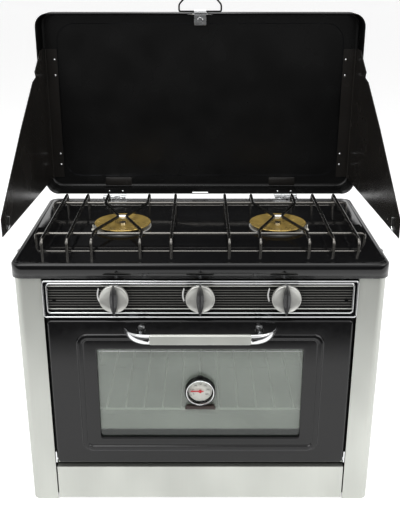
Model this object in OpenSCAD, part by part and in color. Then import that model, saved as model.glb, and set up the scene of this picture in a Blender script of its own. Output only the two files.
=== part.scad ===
// Folding camp oven: a two-burner gas cooker over a small oven, with a folding lid and side windshields.
// Millimetres. X to the right, Y to the rear, Z up. Origin at the centre of the flat underside.

/* [Body] */
// Outer width of the steel body
body_w = 524; // [480:2:600]
// Depth of the body, front face to rear face
body_d = 306; // [280:2:360]
// Height of the body under the cooktop
body_h = 377; // [375:1:430]
// Thickness of the body sheet
sheet = 1.2; // [0.8:0.1:2]
// Width of each front stile
stile_w = 39; // [25:1:50]
// Height of the kick panel
kick_h = 60; // [45:1:66]

/* [Cooktop] */
// Overhang of the pan past the body on each side
pan_over = 3; // [1:0.5:6]
// Height of the pan's outer wall
pan_h = 22; // [16:1:30]
// Height of the pan's rim above its floor
pan_sink = 11; // [8:1:14]
// Distance of each burner from the middle
burner_x = 122; // [110:1:135]
// Diameter of a burner head
burner_d = 90; // [70:1:100]
// Height of the grate's top above the pan's rim
grate_rise = 20; // [17:1:24]
// Diameter of the grate wire
wire_d = 5; // [4:0.5:6]

/* [Control panel] */
// Bottom of the control panel
panel_z = 317; // [315:1:322]
// Spacing of the knobs
knob_pitch = 120.5; // [90:0.5:130]
// Diameter of a knob
knob_d = 41; // [32:1:46]
// Travel of a knob when it is pushed in
knob_push = 3; // [2:0.5:4]

/* [Oven and door] */
// Width of the door
door_w = 436; // [400:2:442]
// Bottom edge of the door
door_z0 = 72; // [71:1:76]
// Top edge of the door
door_z1 = 313; // [300:1:314]
// Thickness of the door
door_t = 10; // [9:0.5:11]
// Width of the door's window
window_w = 300; // [240:5:320]
// Bottom of the window
window_z0 = 117; // [112:1:150]
// Top of the window
window_z1 = 267; // [240:1:268]
// Height of the oven rack
rack_z = 150; // [130:1:180]
// Width of the oven cavity
cavity_w = 392; // [370:2:400]

/* [Lid] */
// Outer width of the lid
lid_w = 548; // [546:1:640]
// Height of the open lid
lid_h = 309; // [300:1:330]
// Depth of the lid's skirt
skirt = 50; // [46:1:60]
// Thickness of the lid sheet
lid_t = 1; // [0.8:0.1:1.5]
// Depth of the pressed recess behind the lid's flange
recess_d = 10; // [6:1:14]

/* [Windshields] */
// Length of a windshield from its hinge to its front edge
wing_len = 327; // [290:1:340]
// Height of a windshield at its hinge
wing_h = 246; // [200:1:270]
// Height of a windshield at its front edge
wing_front_h = 43; // [30:1:70]
// Outward flare of the open windshields in degrees
wing_flare = 2.56; // [1:0.1:4]

/* [Hidden] */
$fn = 48;
front_y = -body_d / 2 - 2;
rear_y = front_y + body_d;
// pan
pan_w = body_w + 2 * pan_over;
pan_y0 = front_y - 5;
pan_y1 = rear_y + 7;
pan_z0 = body_h;
pan_z1 = pan_z0 + pan_h;
pan_floor = pan_z1 - pan_sink;
pan_t = 1.2;
pan_rim = 9;
bowl_d = burner_d + 40;
burner_neck_d = 44;
// running clearance of a pin in its bore, on the radius
run = 0.05;
// small gap between pieces that rest on each other
seat = 0.3;
// gap between two wires where they are welded
weld = 0.1;
// door
door_back = front_y + 4;
door_front = door_back - door_t;
door_half = door_w / 2;
door_sheet = 1;
door_pivot_y = (door_front + door_back) / 2;
door_pivot_z = door_z0 + door_t / 2;
pin_r = 2.5;
glass_t = 4;
glass_y1 = door_back - door_sheet - 0.6;
glass_y0 = glass_y1 - glass_t;
glass_lap = 10;
// oven
surround_y = door_back + 5;
cavity_z0 = 96;
cavity_z1 = 298;
cavity_half = cavity_w / 2;
cavity_y1 = rear_y - 30;
gasket_w = 9;
gasket_t = surround_y - door_back - 0.6;
// control panel
panel_z1 = body_h - 3;
panel_half = body_w / 2 - stile_w - 1;
bezel_w = 7;
bezel_proud = 5;
knob_z = panel_z + 33;
knob_t = 15;
knob_y = front_y - bezel_proud - knob_push - 1.5;
stem_r = 3;
// middle of the gas inlet
inlet_y = front_y + 46;
inlet_z = knob_z - 6;
knob_xs = [-knob_pitch, 0, knob_pitch];
// grate
grate_z1 = pan_z1 + grate_rise;
wire_z = grate_z1 - wire_d / 2;
grate_y0 = pan_y0 + 48;
grate_y1 = pan_y1 - 37;
wire_xs = [228, 192, 157, 87, 42];
bend_gap = 5;
leg_x = pan_w / 2 - 20;
// lid, open
hinge_y = pan_y1 + 12;
hinge_z = pan_z1 + 2;
hinge_xs = [-152, 152];
hinge_w = 40;
hinge_t = 1;
hinge_pin_r = 1.3;
knuckle_r = 2.6;
lid_y0 = hinge_y + 2;
lid_y1 = lid_y0 + skirt;
lid_z0 = hinge_z + 1;
lid_z1 = lid_z0 + lid_h;
lid_corner = 22;
lid_half = lid_w / 2;
recess_half = lid_half - 27;
recess_z0 = lid_z0 + 22;
recess_z1 = lid_z1 - 20;
recess_corner = 30;
// windshields
wing_t = 1;
wing_hinge_x = pan_w / 2 + 3.4;
left_wing_y = lid_y1 - lid_t - 5;
right_wing_y = left_wing_y - 5.5;
wing_pin_r = 1;
wing_knuckle_r = 2;
wing_z0 = lid_z0 + lid_t + 2;
wing_rivet_x = recess_half + 7;
rivet_zs = [42, 62, 202, 229];
rivet_r = 2.2;
clip_d = 2;
clip_back = 33;
clip_rise = 36;
// height of a windshield's lower edge above the lid's skirt, clear of the lid's corner and of the grate
wing_foot = 16;
knuckle_h = 12;
knuckle_gap = 1.5;
knuckle_zs = [wing_foot, (wing_foot + wing_h - knuckle_h) / 2, wing_h - knuckle_h - 2];
// latch
bail_d = 3;
bail_half = 35;
bail_rise = 20;
strap_half = 10;
bail_y = lid_y0 + 8;
bail_z = lid_z1 + bail_d / 2 + 1;
slot_half = 14;
strap_ear = 21;
// handle
handle_z = 302;
handle_half = 71;
handle_out = 34;
handle_h = 15;
boss_x = 84;
boss_z = 300;
// thermometer
gauge_z = 198;
gauge_d = 45;
gauge_y1 = glass_y0;
gauge_t = 11;
gauge_stem_r = 4;

steel = "silver";
enamel = "#161616";
black = "#222222";
chrome = "gainsboro";

// box from low corner to high corner
module box(a, b) { translate(a) cube([b[0] - a[0], b[1] - a[1], b[2] - a[2]]); }
// cylinder along Y from y0 to y1 at x, z
module rod_y(x, z, y0, y1, r) { translate([x, y1, z]) rotate([90, 0, 0]) cylinder(r = r, h = y1 - y0); }
// cylinder along X from x0 to x1 at y, z
module rod_x(y, z, x0, x1, r) { translate([x0, y, z]) rotate([0, 90, 0]) cylinder(r = r, h = x1 - x0); }
// bent wire through a list of points
module wire(points, d) {
    for (i = [0 : len(points) - 2])
        hull() {
            translate(points[i]) sphere(d = d, $fn = 8);
            translate(points[i + 1]) sphere(d = d, $fn = 8);
        }
}
// unit vector
function unit(v) = v / norm(v);
// the same route with each inner corner cut by b on both sides
function eased(p, b) = [p[0], for (i = [1 : len(p) - 2])
    each [p[i] + b * unit(p[i - 1] - p[i]), p[i] + b * unit(p[i + 1] - p[i])], p[len(p) - 1]];
// direction of a route at point i
function heading(p, i) = unit(unit(p[min(i + 1, len(p) - 1)] - p[min(i, len(p) - 2)])
    + unit(p[max(i, 1)] - p[max(i - 1, 0)]));
// eight-sided wire swept along a route, one solid; side is a direction that the route never takes
module swept_wire(points, d, side) {
    n = 8;
    route = eased(points, d * 0.7);
    rings = [for (i = [0 : len(route) - 1]) let (t = heading(route, i), u = unit(side - (side * t) * t), v = cross(t, u))
        for (k = [0 : n - 1]) route[i] + d / 2 * (cos(k * 360 / n) * u + sin(k * 360 / n) * v)];
    last = (len(route) - 1) * n;
    polyhedron(rings, [[for (k = [0 : n - 1]) k], [for (k = [n - 1 : -1 : 0]) last + k],
        for (i = [0 : len(route) - 2], k = [0 : n - 1]) let (a = i * n + k, b = i * n + (k + 1) % n)
            each [[a, a + n, b], [b, a + n, b + n]]], convexity = 6);
}
// rounded rectangle in the XZ plane, thick from y0 to y1
module plate_xz(x0, x1, z0, z1, y0, y1, r) {
    translate([0, y1, 0]) rotate([90, 0, 0]) linear_extrude(y1 - y0) rounded(x0, x1, z0, z1, r);
}
// rounded rectangle in a plane
module rounded(x0, x1, z0, z1, r) {
    union() {
        translate([x0 + r, z0]) square([x1 - x0 - 2 * r, z1 - z0]);
        translate([x0, z0 + r]) square([x1 - x0, z1 - z0 - 2 * r]);
        for (x = [x0 + r, x1 - r], z = [z0 + r, z1 - r]) translate([x, z]) circle(r = r);
    }
}
// both sides: the child and its mirror image
module both() { children(); mirror([1, 0, 0]) children(); }

// Body side: a wall, a rounded front corner and the front stile
module side_panel() {
    r = 12;
    x1 = body_w / 2;
    color(steel) difference() {
        linear_extrude(body_h) union() {
            translate([x1 - stile_w, front_y]) square([stile_w - r, sheet]);
            translate([x1 - sheet, front_y + r]) square([sheet, body_d - r]);
            translate([x1 - r, front_y + r]) intersection() {
                difference() {
                    circle(r = r);
                    circle(r = r - sheet);
                }
                translate([0, -r]) square(r);
            }
        }
        for (i = [0 : 5]) box([x1 - 5, rear_y - 120 + i * 14, body_h - 60], [x1 + 5, rear_y - 114 + i * 14, body_h - 30]);
    }
}
module left_side_panel() { mirror([1, 0, 0]) side_panel(); }
// The right side has a hole round the gas inlet
module right_side_panel() {
    color(steel) difference() {
        side_panel();
        rod_x(inlet_y, inlet_z, body_w / 2 - 5, body_w / 2 + 5, 12);
    }
}
module kick_panel() {
    x = panel_half - 1;
    color(steel) union() {
        box([-x, front_y, 3], [x, front_y + sheet, kick_h]);
        box([-x, front_y, kick_h - sheet], [x, surround_y - seat, kick_h]);
        box([-x, front_y, 3], [x, front_y + 14, 3 + sheet]);
    }
}
module base_tray() {
    x = body_w / 2 - sheet - seat;
    color(steel) union() {
        box([-x, front_y + 14.5, 0], [x, rear_y - sheet - seat, sheet]);
        both() box([x - 1, front_y + 14.5, 0], [x, rear_y - sheet - seat, 14]);
    }
}
module rear_panel() {
    x = body_w / 2 - sheet - seat;
    color(steel) difference() {
        box([-x, rear_y - sheet, 1], [x, rear_y, body_h]);
        for (i = [-5 : 5]) box([i * 30 - 9, rear_y - 3, 40], [i * 30 + 9, rear_y + 1, 46]);
        for (i = [-5 : 5]) box([i * 30 - 9, rear_y - 3, body_h - 46], [i * 30 + 9, rear_y + 1, body_h - 40]);
    }
}
// Black frame behind the door, with the oven's opening
module door_surround() {
    x = body_w / 2 - sheet - 2 * seat;
    color(black) difference() {
        box([-x, surround_y, kick_h - 20], [x, surround_y + sheet, panel_z - seat]);
        box([-cavity_half, surround_y - 1, cavity_z0], [cavity_half, surround_y + 3, cavity_z1]);
    }
}
module door_gasket() {
    color("#444444") difference() {
        plate_xz(-cavity_half - gasket_w, cavity_half + gasket_w, cavity_z0 - gasket_w, cavity_z1 + gasket_w,
            surround_y - gasket_t, surround_y, 8);
        box([-cavity_half, surround_y - 9, cavity_z0], [cavity_half, surround_y + 1, cavity_z1]);
    }
}
// Oven cavity: a folded box, open to the front
module oven_liner() {
    y0 = surround_y + sheet;
    color("#9aa09a") difference() {
        box([-cavity_half - 1, y0, cavity_z0 - 12], [cavity_half + 1, cavity_y1, cavity_z1 + 1]);
        box([-cavity_half, y0 - 1, cavity_z0 - 11], [cavity_half, cavity_y1 - 1, cavity_z1]);
        for (x = [-120, 120]) translate([x, cavity_y1 - 2, cavity_z1 - 12]) rotate([-90, 0, 0]) cylinder(r = 8, h = 4);
    }
}
module rack_guides() {
    y0 = surround_y + sheet + 8;
    color(steel) both() for (z = [rack_z - wire_d / 2, rack_z + 58])
        difference() {
            box([cavity_half - 10, y0, z - 6], [cavity_half, cavity_y1 - 8, z]);
            box([cavity_half - 11, y0 - 1, z - 7], [cavity_half - 1, cavity_y1, z - 1]);
        }
}
module oven_rack() {
    x = cavity_half - 3;
    y0 = surround_y + sheet + 14;
    y1 = cavity_y1 - 12;
    d = wire_d - 1;
    thin = d - 1;
    z = rack_z - wire_d / 2 + d / 2 + 0.2;
    color(chrome) {
        swept_wire([[-x, y1, z], [-x, y0, z], [x, y0, z], [x, y1, z]], d, [0, 0, 1]);
        rod_x(y1 - 10, z, -x + d / 2 + weld, x - d / 2 - weld, d / 2 - 0.2);
        for (i = [-6 : 6]) rod_y(i * 28.5, z + d / 2 + thin / 2 + weld, y0 - 1, y1, thin / 2);
    }
}
module oven_burner() {
    y = (surround_y + cavity_y1) / 2;
    z = cavity_z0 - 1;
    color(steel) union() {
        difference() {
            rod_x(y, z, -150, 150, 8);
            rod_x(y, z, -148, 160, 6.5);
            for (i = [-11 : 11]) translate([i * 12, y, z]) cylinder(r = 1, h = 20, $fn = 16);
        }
        both() box([140, y - 10, cavity_z0 - 11], [142, y + 10, z - 7.5]);
    }
}
// Perforated plate over the oven burner
module flame_deflector() {
    y0 = surround_y + sheet + 20;
    y1 = cavity_y1 - 20;
    z = cavity_z0 + 14;
    color(steel) difference() {
        union() {
            box([-170, y0, z], [170, y1, z + 1]);
            both() box([169, y0, cavity_z0 - 11], [170, y1, z + 1]);
        }
        for (i = [-5 : 5], j = [0 : 1]) box([i * 28 - 8, j ? y1 - 40 : y0 + 34, z - 1], [i * 28 + 8, j ? y1 - 34 : y0 + 40, z + 2]);
    }
}
// Enamelled cooktop: rim, walls, floor, two drip bowls and holes for the burners
module cooktop_pan() {
    w = pan_w / 2;
    color(enamel) difference() {
        linear_extrude_pan(0, pan_z0, pan_z1, 16);
        linear_extrude_pan(pan_t, pan_z0 - 1, pan_floor - pan_t, 15);
        linear_extrude_pan(pan_rim, pan_floor, pan_z1 + 1, 12);
        difference() {
            linear_extrude_pan(pan_t, pan_z0 - 1, pan_z1 - pan_t, 15);
            linear_extrude_pan(pan_rim - pan_t, pan_z0 - 2, pan_z1, 12);
        }
        both() translate([burner_x, 0, pan_floor - 5]) cylinder(r = burner_neck_d / 2, h = 20);
        for (x = [-burner_x - 45, burner_x + 45]) translate([x, -14, pan_floor - 5]) cylinder(r = 3, h = 20);
    }
    color(enamel) both() translate([burner_x, 0, pan_floor]) difference() {
        cylinder(r = bowl_d / 2, h = 3);
        translate([0, 0, -1]) cylinder(r = bowl_d / 2 - 3, h = 5);
    }
}
// slab with the pan's outline, drawn in from it
module linear_extrude_pan(inset, z0, z1, r) {
    translate([0, 0, z0]) linear_extrude(z1 - z0)
        rounded(-pan_w / 2 + inset, pan_w / 2 - inset, pan_y0 + inset, pan_y1 - inset, r);
}
module burner_bodies() {
    r = burner_d / 2;
    nr = burner_neck_d / 2 - 0.5;
    color(steel) both() translate([burner_x, 0, 0]) rotate_extrude() polygon([
        [3, pan_floor - 26], [nr, pan_floor - 26], [nr, pan_floor + 3], [r - 4, pan_floor + 9], [r, pan_floor + 13],
        [r - 2, pan_floor + 13], [r - 6, pan_floor + 11], [10, pan_floor + 9], [10, pan_floor + 14], [3, pan_floor + 14]]);
}
module burner_caps() {
    r = burner_d / 2 - 1;
    z = pan_floor + 14;
    color("#b08a3c") both() translate([burner_x, 0, 0]) rotate_extrude() polygon([
        [3, z], [12, z], [r - 14, z + 1], [r - 2, z + 3], [r, z + 5], [r - 2, z + 5.4], [r - 14, z + 3.4], [12, z + 2.4], [3, z + 2.4]]);
}
module burner_screws() {
    z = pan_floor + 16.4;
    color(chrome) both() translate([burner_x, 0, 0]) difference() {
        union() {
            translate([0, 0, z - 30]) cylinder(r = 2.8, h = 30.5);
            translate([0, 0, z]) cylinder(r = 5, h = 2.5);
        }
        box([-6, -0.6, z + 1.2], [6, 0.6, z + 4]);
    }
}
module igniter_electrodes() {
    for (s = [-1, 1]) translate([s * (burner_x + 45), -14, 0]) {
        color("white") translate([0, 0, pan_floor - 14]) cylinder(r = 2.9, h = 26);
        color(chrome) translate([0, 0, pan_floor + 12]) cylinder(r = 0.8, h = 7);
    }
}
// Mixer tubes from the valves to the underside of each burner
module burner_tubes() {
    z = pan_floor - 33;
    color(steel) for (s = [-1, 1]) difference() {
        union() {
            rod_y(s * burner_x, z, front_y + 51, 24, 7);
            translate([s * burner_x, 0, z]) cylinder(r = 13, h = 7);
        }
        rod_y(s * burner_x, z, front_y + 50, 20, 5.5);
        translate([s * burner_x, 0, z]) cylinder(r = 3, h = 12);
    }
}
module gas_manifold() {
    z = knob_z - 6;
    y = front_y + 46;
    color("#b8a060") difference() {
        union() {
            rod_x(y, z, -knob_pitch - 14, body_w / 2 - 40, 6);
            for (x = knob_xs) translate([x, y, z]) cylinder(r = 4.5, h = 6);
        }
        rod_x(y, z, -knob_pitch - 12, body_w / 2 - 30, 4);
    }
}
// Threaded hose connector at the end of the manifold, through the side wall
module gas_inlet() {
    x = body_w / 2 - 40;
    color("#b8a060") difference() {
        union() {
            rod_x(inlet_y, inlet_z, x, body_w / 2 - sheet - seat, 5.5);
            rod_x(inlet_y, inlet_z, x + 14, x + 24, 9);
        }
        rod_x(inlet_y, inlet_z, x - 1, body_w / 2 + 1, 3);
    }
}
// Black control panel with three stem holes
module control_panel() {
    color(black) difference() {
        union() {
            box([-panel_half, front_y + 1, panel_z], [panel_half, front_y + 2.2, panel_z1]);
            both() box([panel_half - 14, front_y + 2.2, panel_z], [panel_half - 12.8, front_y + 20, panel_z1]);
        }
        for (x = knob_xs) rod_y(x, knob_z, front_y, front_y + 3, stem_r + 2);
    }
}
// Bright frame round the control panel
module panel_bezel() {
    color(chrome) difference() {
        box([-panel_half, front_y - bezel_proud, panel_z], [panel_half, front_y + 1, panel_z1]);
        box([-panel_half + bezel_w, front_y - 9, panel_z + 8], [panel_half - bezel_w, front_y + 2, panel_z1 - 5]);
        box([-panel_half - 1, front_y - 3.5, panel_z - 1], [panel_half + 1, front_y + 2, panel_z + 1.5]);
    }
}
module panel_screws() {
    color(chrome) both() translate([panel_half - bezel_w - 8, front_y + 1, knob_z - 8]) rotate([90, 0, 0]) difference() {
        cylinder(r = 2.5, h = 1.5);
        box([-3, -0.4, 0.8], [3, 0.4, 3]);
    }
}
module valve(x) {
    y0 = front_y + 12;
    color("#c0a868") difference() {
        union() {
            rod_y(x, knob_z, y0, y0 + 20, 9);
            box([x - 11, y0 + 20, knob_z - 11], [x + 11, y0 + 26, knob_z + 11]);
            rod_y(x, knob_z, y0 + 26, front_y + 46 - 6.5, 4);
        }
        rod_y(x, knob_z, y0 - 1, y0 + 17, stem_r + run);
    }
}
module valve_left() { valve(-knob_pitch); }
module valve_centre() { valve(0); }
module valve_right() { valve(knob_pitch); }
// Stem: slides in the valve and carries the knob
module stem(x) {
    color(chrome) union() {
        rod_y(x, knob_z, knob_y - knob_t + 6, front_y + 24, stem_r);
        rod_y(x, knob_z, front_y + 3.6 + knob_push, front_y + 5.6 + knob_push, 6);
    }
}
module stem_left() { stem(-knob_pitch); }
module stem_centre() { stem(0); }
module stem_right() { stem(knob_pitch); }
// Knob: a disc with a lens-shaped grip bar across it
module knob(x) {
    grip_w = 7;
    grip_r = 42;
    color("#777777") translate([x, knob_y, knob_z]) rotate([90, 0, 0]) difference() {
        union() {
            cylinder(r = knob_d / 2, h = 6);
            translate([0, 0, 5]) cylinder(r = knob_d / 2 - 2, h = 2);
            linear_extrude(knob_t) intersection() {
                translate([grip_r - grip_w, 0]) circle(r = grip_r);
                translate([-grip_r + grip_w, 0]) circle(r = grip_r);
                square([30, knob_d + 5], center = true);
            }
        }
        translate([0, 0, -1]) cylinder(r = stem_r + run, h = knob_t - 4);
    }
}
module knob_left() { knob(-knob_pitch); }
module knob_centre() { knob(0); }
module knob_right() { knob(knob_pitch); }
// Pan support: ten wires front to back, welded on cross bars with legs and on a low bar at each end
module pan_grate() {
    foot = pan_floor + seat;
    low = grate_z1 - 16;
    bar_z = wire_z - wire_d - weld;
    step = wire_d + weld;
    color("#888888") {
        for (s = [-1, 1], i = [0 : 4]) {
            x = s * wire_xs[i];
            bend = i == 2 ? s * (burner_x + bend_gap) : i == 3 ? s * (burner_x - bend_gap) : x;
            swept_wire([[x, grate_y0, low], [x, grate_y0, wire_z], [x, -70, wire_z], [bend, 0, wire_z], [x, 70, wire_z],
                [x, grate_y1, wire_z], [x, grate_y1, low]], wire_d, [1, 0, 0]);
        }
        for (y = [grate_y0 + step, grate_y1 - step])
            rod_x(y, low + wire_d / 2, -wire_xs[0] - wire_d, wire_xs[0] + wire_d, wire_d / 2);
        for (y = [grate_y0 + 34, grate_y1 - 34])
            swept_wire([[-leg_x, y, foot], [-leg_x, y, bar_z], [leg_x, y, bar_z], [leg_x, y, foot]], wire_d, [0, 1, 0]);
    }
}
// Small eyes on the pan's side walls that the windshield clips hook on
module clip_anchors() {
    y = pan_y0 + 60;
    color(chrome) both() difference() {
        box([pan_w / 2, y, pan_z1 - 12], [pan_w / 2 + 1.4, y + 8, pan_z1 - 2]);
        rod_x(y + 4, pan_z1 - 7, pan_w / 2 - 1, pan_w / 2 + 3, 2);
    }
}
// Pan half of each lid hinge: a leaf on the pan's rim, its middle knuckle and the pin
module lid_hinge_bases() {
    for (x = hinge_xs) translate([x, 0, 0]) color(chrome) {
        difference() {
            union() {
                box([-hinge_w / 2, pan_y1 - 8, pan_z1], [hinge_w / 2, hinge_y - knuckle_r - 0.5, pan_z1 + hinge_t]);
                box([-7, hinge_y - knuckle_r - 1, pan_z1], [7, hinge_y, pan_z1 + hinge_t]);
                rod_x(hinge_y, hinge_z, -7, 7, knuckle_r);
            }
            rod_x(hinge_y, hinge_z, -8, 8, hinge_pin_r + run);
        }
        rod_x(hinge_y, hinge_z, -hinge_w / 2 - 1, hinge_w / 2 + 1, hinge_pin_r);
        for (s = [-12, 12]) translate([s, pan_y1 - 4, pan_z1 + hinge_t]) cylinder(r = 2.2, h = 1.4);
    }
}
// Lid: a deep skirt round a flange with a pressed recess
module lid_shell() {
    color(black) difference() {
        union() {
            plate_xz(-lid_half, lid_half, lid_z0, lid_z1, lid_y0, lid_y1, lid_corner);
            plate_xz(-recess_half - lid_t, recess_half + lid_t, recess_z0 - lid_t, recess_z1 + lid_t,
                lid_y1 - 1, lid_y1 + recess_d, recess_corner + lid_t);
        }
        plate_xz(-lid_half + lid_t, lid_half - lid_t, lid_z0 + lid_t, lid_z1 - lid_t, lid_y0 - 1, lid_y1 - lid_t,
            lid_corner - lid_t);
        plate_xz(-recess_half, recess_half, recess_z0, recess_z1, lid_y0, lid_y1 + recess_d - lid_t, recess_corner);
        for (z = [lid_z0, lid_z1]) box([-slot_half, lid_y0 + 2, z - 3], [slot_half, lid_y0 + 14, z + 3]);
        for (x = hinge_xs) box([x - hinge_w / 2 - 1, lid_y0 - 1, lid_z0 - 1], [x + hinge_w / 2 + 1, lid_y0 + 1.5, lid_z0 + 4]);
    }
}
// Lid half of each hinge: a leaf under the lower skirt and two outer knuckles
module lid_hinge_leaves() {
    for (x = hinge_xs) translate([x, 0, 0]) color(chrome) difference() {
        union() {
            box([-hinge_w / 2, hinge_y + knuckle_r + 0.3, lid_z0 - hinge_t], [hinge_w / 2, lid_y0 + 24, lid_z0]);
            for (a = [-hinge_w / 2, 7.3]) {
                box([a, hinge_y, lid_z0 - hinge_t], [a + hinge_w / 2 - 7.3, hinge_y + knuckle_r + 1, lid_z0]);
                rod_x(hinge_y, hinge_z, a, a + hinge_w / 2 - 7.3, knuckle_r);
            }
        }
        rod_x(hinge_y, hinge_z, -hinge_w, hinge_w, hinge_pin_r + run);
    }
}
// Rivet heads inside the lid: two at each lid hinge, four at each windshield hinge
module lid_rivets() {
    color(chrome) {
        for (x = hinge_xs, s = [-12, 12]) translate([x + s, lid_y0 + 17, lid_z0 + lid_t]) cylinder(r = rivet_r, h = 1.4);
        for (s = [-1, 1], z = rivet_zs) translate([s * wing_rivet_x, lid_y1 - lid_t - 1, lid_z0 + z])
            rotate([90, 0, 0]) cylinder(r = rivet_r, h = 1.2);
    }
}
// Folded strap that holds the bail in the lid's slot
module latch_strap() {
    color(chrome) difference() {
        union() {
            box([-strap_half, bail_y - 2.8, bail_z - 22], [strap_half, bail_y + 2.8, bail_z]);
            rod_x(bail_y, bail_z, -strap_half, strap_half, 2.8);
            rod_y(0, bail_z - 14, bail_y - 4.4, bail_y + 4.4, 4.5);
            for (s = [-1, 1]) box([s > 0 ? 9 : -strap_ear, bail_y - 2.8, lid_z1 - lid_t - 1.6],
                [s > 0 ? strap_ear : -9, bail_y + 2.8, lid_z1 - lid_t - seat]);
        }
        rod_x(bail_y, bail_z, -30, 30, bail_d / 2 + run);
        box([-30, bail_y - 1.6, bail_z - 30], [30, bail_y + 1.6, bail_z - 18]);
    }
}
// Wire bail with chamfered corners; its middle turns in the strap
module latch_bail() {
    grip = bail_d + 0.4;
    top = bail_z + bail_rise;
    color(black) {
        rod_x(bail_y, bail_z, -strap_half - 6, strap_half + 6, bail_d / 2);
        for (s = [-1, 1])
            wire([[s * (strap_half + 4), bail_y, bail_z], [s * bail_half, bail_y, bail_z],
                [s * bail_half, bail_y, top - 9], [s * (bail_half - 8), bail_y, top]], grip);
        wire([[-bail_half + 8, bail_y, top], [bail_half - 8, bail_y, top]], grip);
    }
}
// Fixed half of a windshield hinge: a leaf on the lid's flange, knuckles and a long pin.
// s is the side, y the pin's place
module wing_hinge(s, y) {
    back = lid_y1 - lid_t;
    h = wing_h - 2 - wing_foot;
    mirror([s < 0 ? 1 : 0, 0, 0]) color(black) translate([0, 0, wing_z0]) union() {
        box([recess_half + 2, back - 1, wing_foot], [wing_hinge_x, back, wing_foot + h]);
        for (z = knuckle_zs) {
            box([wing_hinge_x - 1, y, z], [wing_hinge_x + 0.5, back, z + knuckle_h]);
            translate([wing_hinge_x, y, z]) cylinder(r = wing_knuckle_r, h = knuckle_h);
        }
        translate([wing_hinge_x, y, wing_foot]) cylinder(r = wing_pin_r, h = h);
    }
}
module left_wing_hinge() { wing_hinge(-1, left_wing_y); }
module right_wing_hinge() { wing_hinge(1, right_wing_y); }
// Windshield: its outline runs from the hinge, forward and down to a low front edge
module windshield(s, y) {
    r = wing_knuckle_r;
    mid = (wing_h + wing_front_h) / 2;
    mirror([s < 0 ? 1 : 0, 0, 0]) color(black) translate([wing_hinge_x, y, wing_z0]) rotate([0, 0, wing_flare])
        difference() {
            union() {
                translate([-wing_t / 2, 0, 0]) rotate([90, 0, 90]) linear_extrude(wing_t) polygon([
                    [-wing_len, wing_foot], [-r - 0.5, wing_foot],
                    [-r - 0.5, wing_h], [-34, wing_h], [-46, wing_h - 8], [-80, wing_h - 30],
                    [-75, wing_h - 39], [-98, wing_h - 44], [-185, mid + 1], [-wing_len, wing_front_h]]);
                for (i = [0, 1]) {
                    z = knuckle_zs[i] + knuckle_h + knuckle_gap;
                    h = knuckle_zs[i + 1] - knuckle_gap - z;
                    translate([0, 0, z]) cylinder(r = r, h = h);
                    box([-wing_t / 2, -r - 1, z], [wing_t / 2, 0, z + h]);
                }
            }
            translate([0, 0, -1]) cylinder(r = wing_pin_r + run, h = wing_h + 2);
            rod_x(-wing_len + clip_back, clip_rise, -5, 5, clip_d / 2 + run);
            if (s > 0) rod_x(-wing_len + 62, wing_foot + 9, -5, 5, 2);
        }
}
module left_windshield() { windshield(-1, left_wing_y); }
module right_windshield() { windshield(1, right_wing_y); }
// Wire clip on the inner face of a windshield
module wing_clip(s, y) {
    x = -wing_t / 2 - clip_d / 2 - seat;
    a = -wing_len + clip_back;
    mirror([s < 0 ? 1 : 0, 0, 0]) color(chrome) translate([wing_hinge_x, y, wing_z0]) rotate([0, 0, wing_flare]) {
        rod_x(a, clip_rise, x, wing_t / 2 + 1.5, clip_d / 2);
        wire([[x, a, clip_rise], [x, a, clip_rise - 13], [x, a - 4, clip_rise - 18], [x, a - 8, clip_rise - 14]], clip_d);
    }
}
module left_clip() { wing_clip(-1, left_wing_y); }
module right_clip() { wing_clip(1, right_wing_y); }

// Door skin: front sheet with folded edges, a raised bead and the window
module door_outer_panel() {
    color(enamel) difference() {
        union() {
            plate_xz(-door_half, door_half, door_z0, door_z1, door_front, door_back - door_sheet - seat, 6);
            plate_xz(-window_w / 2 - 27, window_w / 2 + 27, window_z0 - 22, window_z1 + 24, door_front - 2.5, door_front + 1, 14);
        }
        box([-door_half + door_sheet, door_front + door_sheet, door_z0 + door_sheet],
            [door_half - door_sheet, door_back, door_z1 - door_sheet]);
        plate_xz(-window_w / 2 - 19, window_w / 2 + 19, window_z0 - 14, window_z1 + 16, door_front - 4, door_front, 8);
        plate_xz(-window_w / 2, window_w / 2, window_z0, window_z1, door_front - 4, door_front + 3, 4);
        both() rod_x(door_pivot_y, door_pivot_z, door_half - 5, door_half + 1, pin_r + 0.4);
        both() rod_y(boss_x, boss_z, door_front - 4, door_front + 3, 2.2);
    }
}
module door_inner_panel() {
    color("#8a8f8a") difference() {
        plate_xz(-door_half + 1, door_half - 1, door_z0 + 1, door_z1 - 1, door_back - door_sheet, door_back, 6);
        plate_xz(-window_w / 2, window_w / 2, window_z0, window_z1, door_back - 4, door_back + 1, 4);
    }
}
module door_glass() {
    color("#9fb0a6", 0.4) difference() {
        plate_xz(-window_w / 2 - glass_lap, window_w / 2 + glass_lap, window_z0 - glass_lap, window_z1 + glass_lap,
            glass_y0, glass_y1, 4);
        rod_y(0, gauge_z, glass_y0 - 1, glass_y1 + 1, gauge_stem_r + 0.3);
    }
}
module door_hinge_blocks() {
    color(steel) both() difference() {
        box([door_half - 20, door_front + door_sheet, door_z0 + door_sheet],
            [door_half - door_sheet, door_back - door_sheet - seat, door_z0 + 34]);
        rod_x(door_pivot_y, door_pivot_z, door_half - 15, door_half + 1, pin_r + run);
    }
}
// Hinge ears and pins at the lower corners of the oven's front
module door_hinge_pins() {
    color(chrome) both() union() {
        box([door_half + 0.8, door_pivot_y - 4, door_pivot_z - 5], [door_half + 2.8, surround_y, door_pivot_z + 14]);
        rod_x(door_pivot_y, door_pivot_z, door_half - 14, door_half + 2, pin_r);
    }
}
module handle_bar() {
    y = door_front - handle_out;
    color(chrome) plate_xz(-handle_half, handle_half, handle_z - handle_h / 2, handle_z + handle_h / 2, y - 6, y, 3);
}
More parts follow.
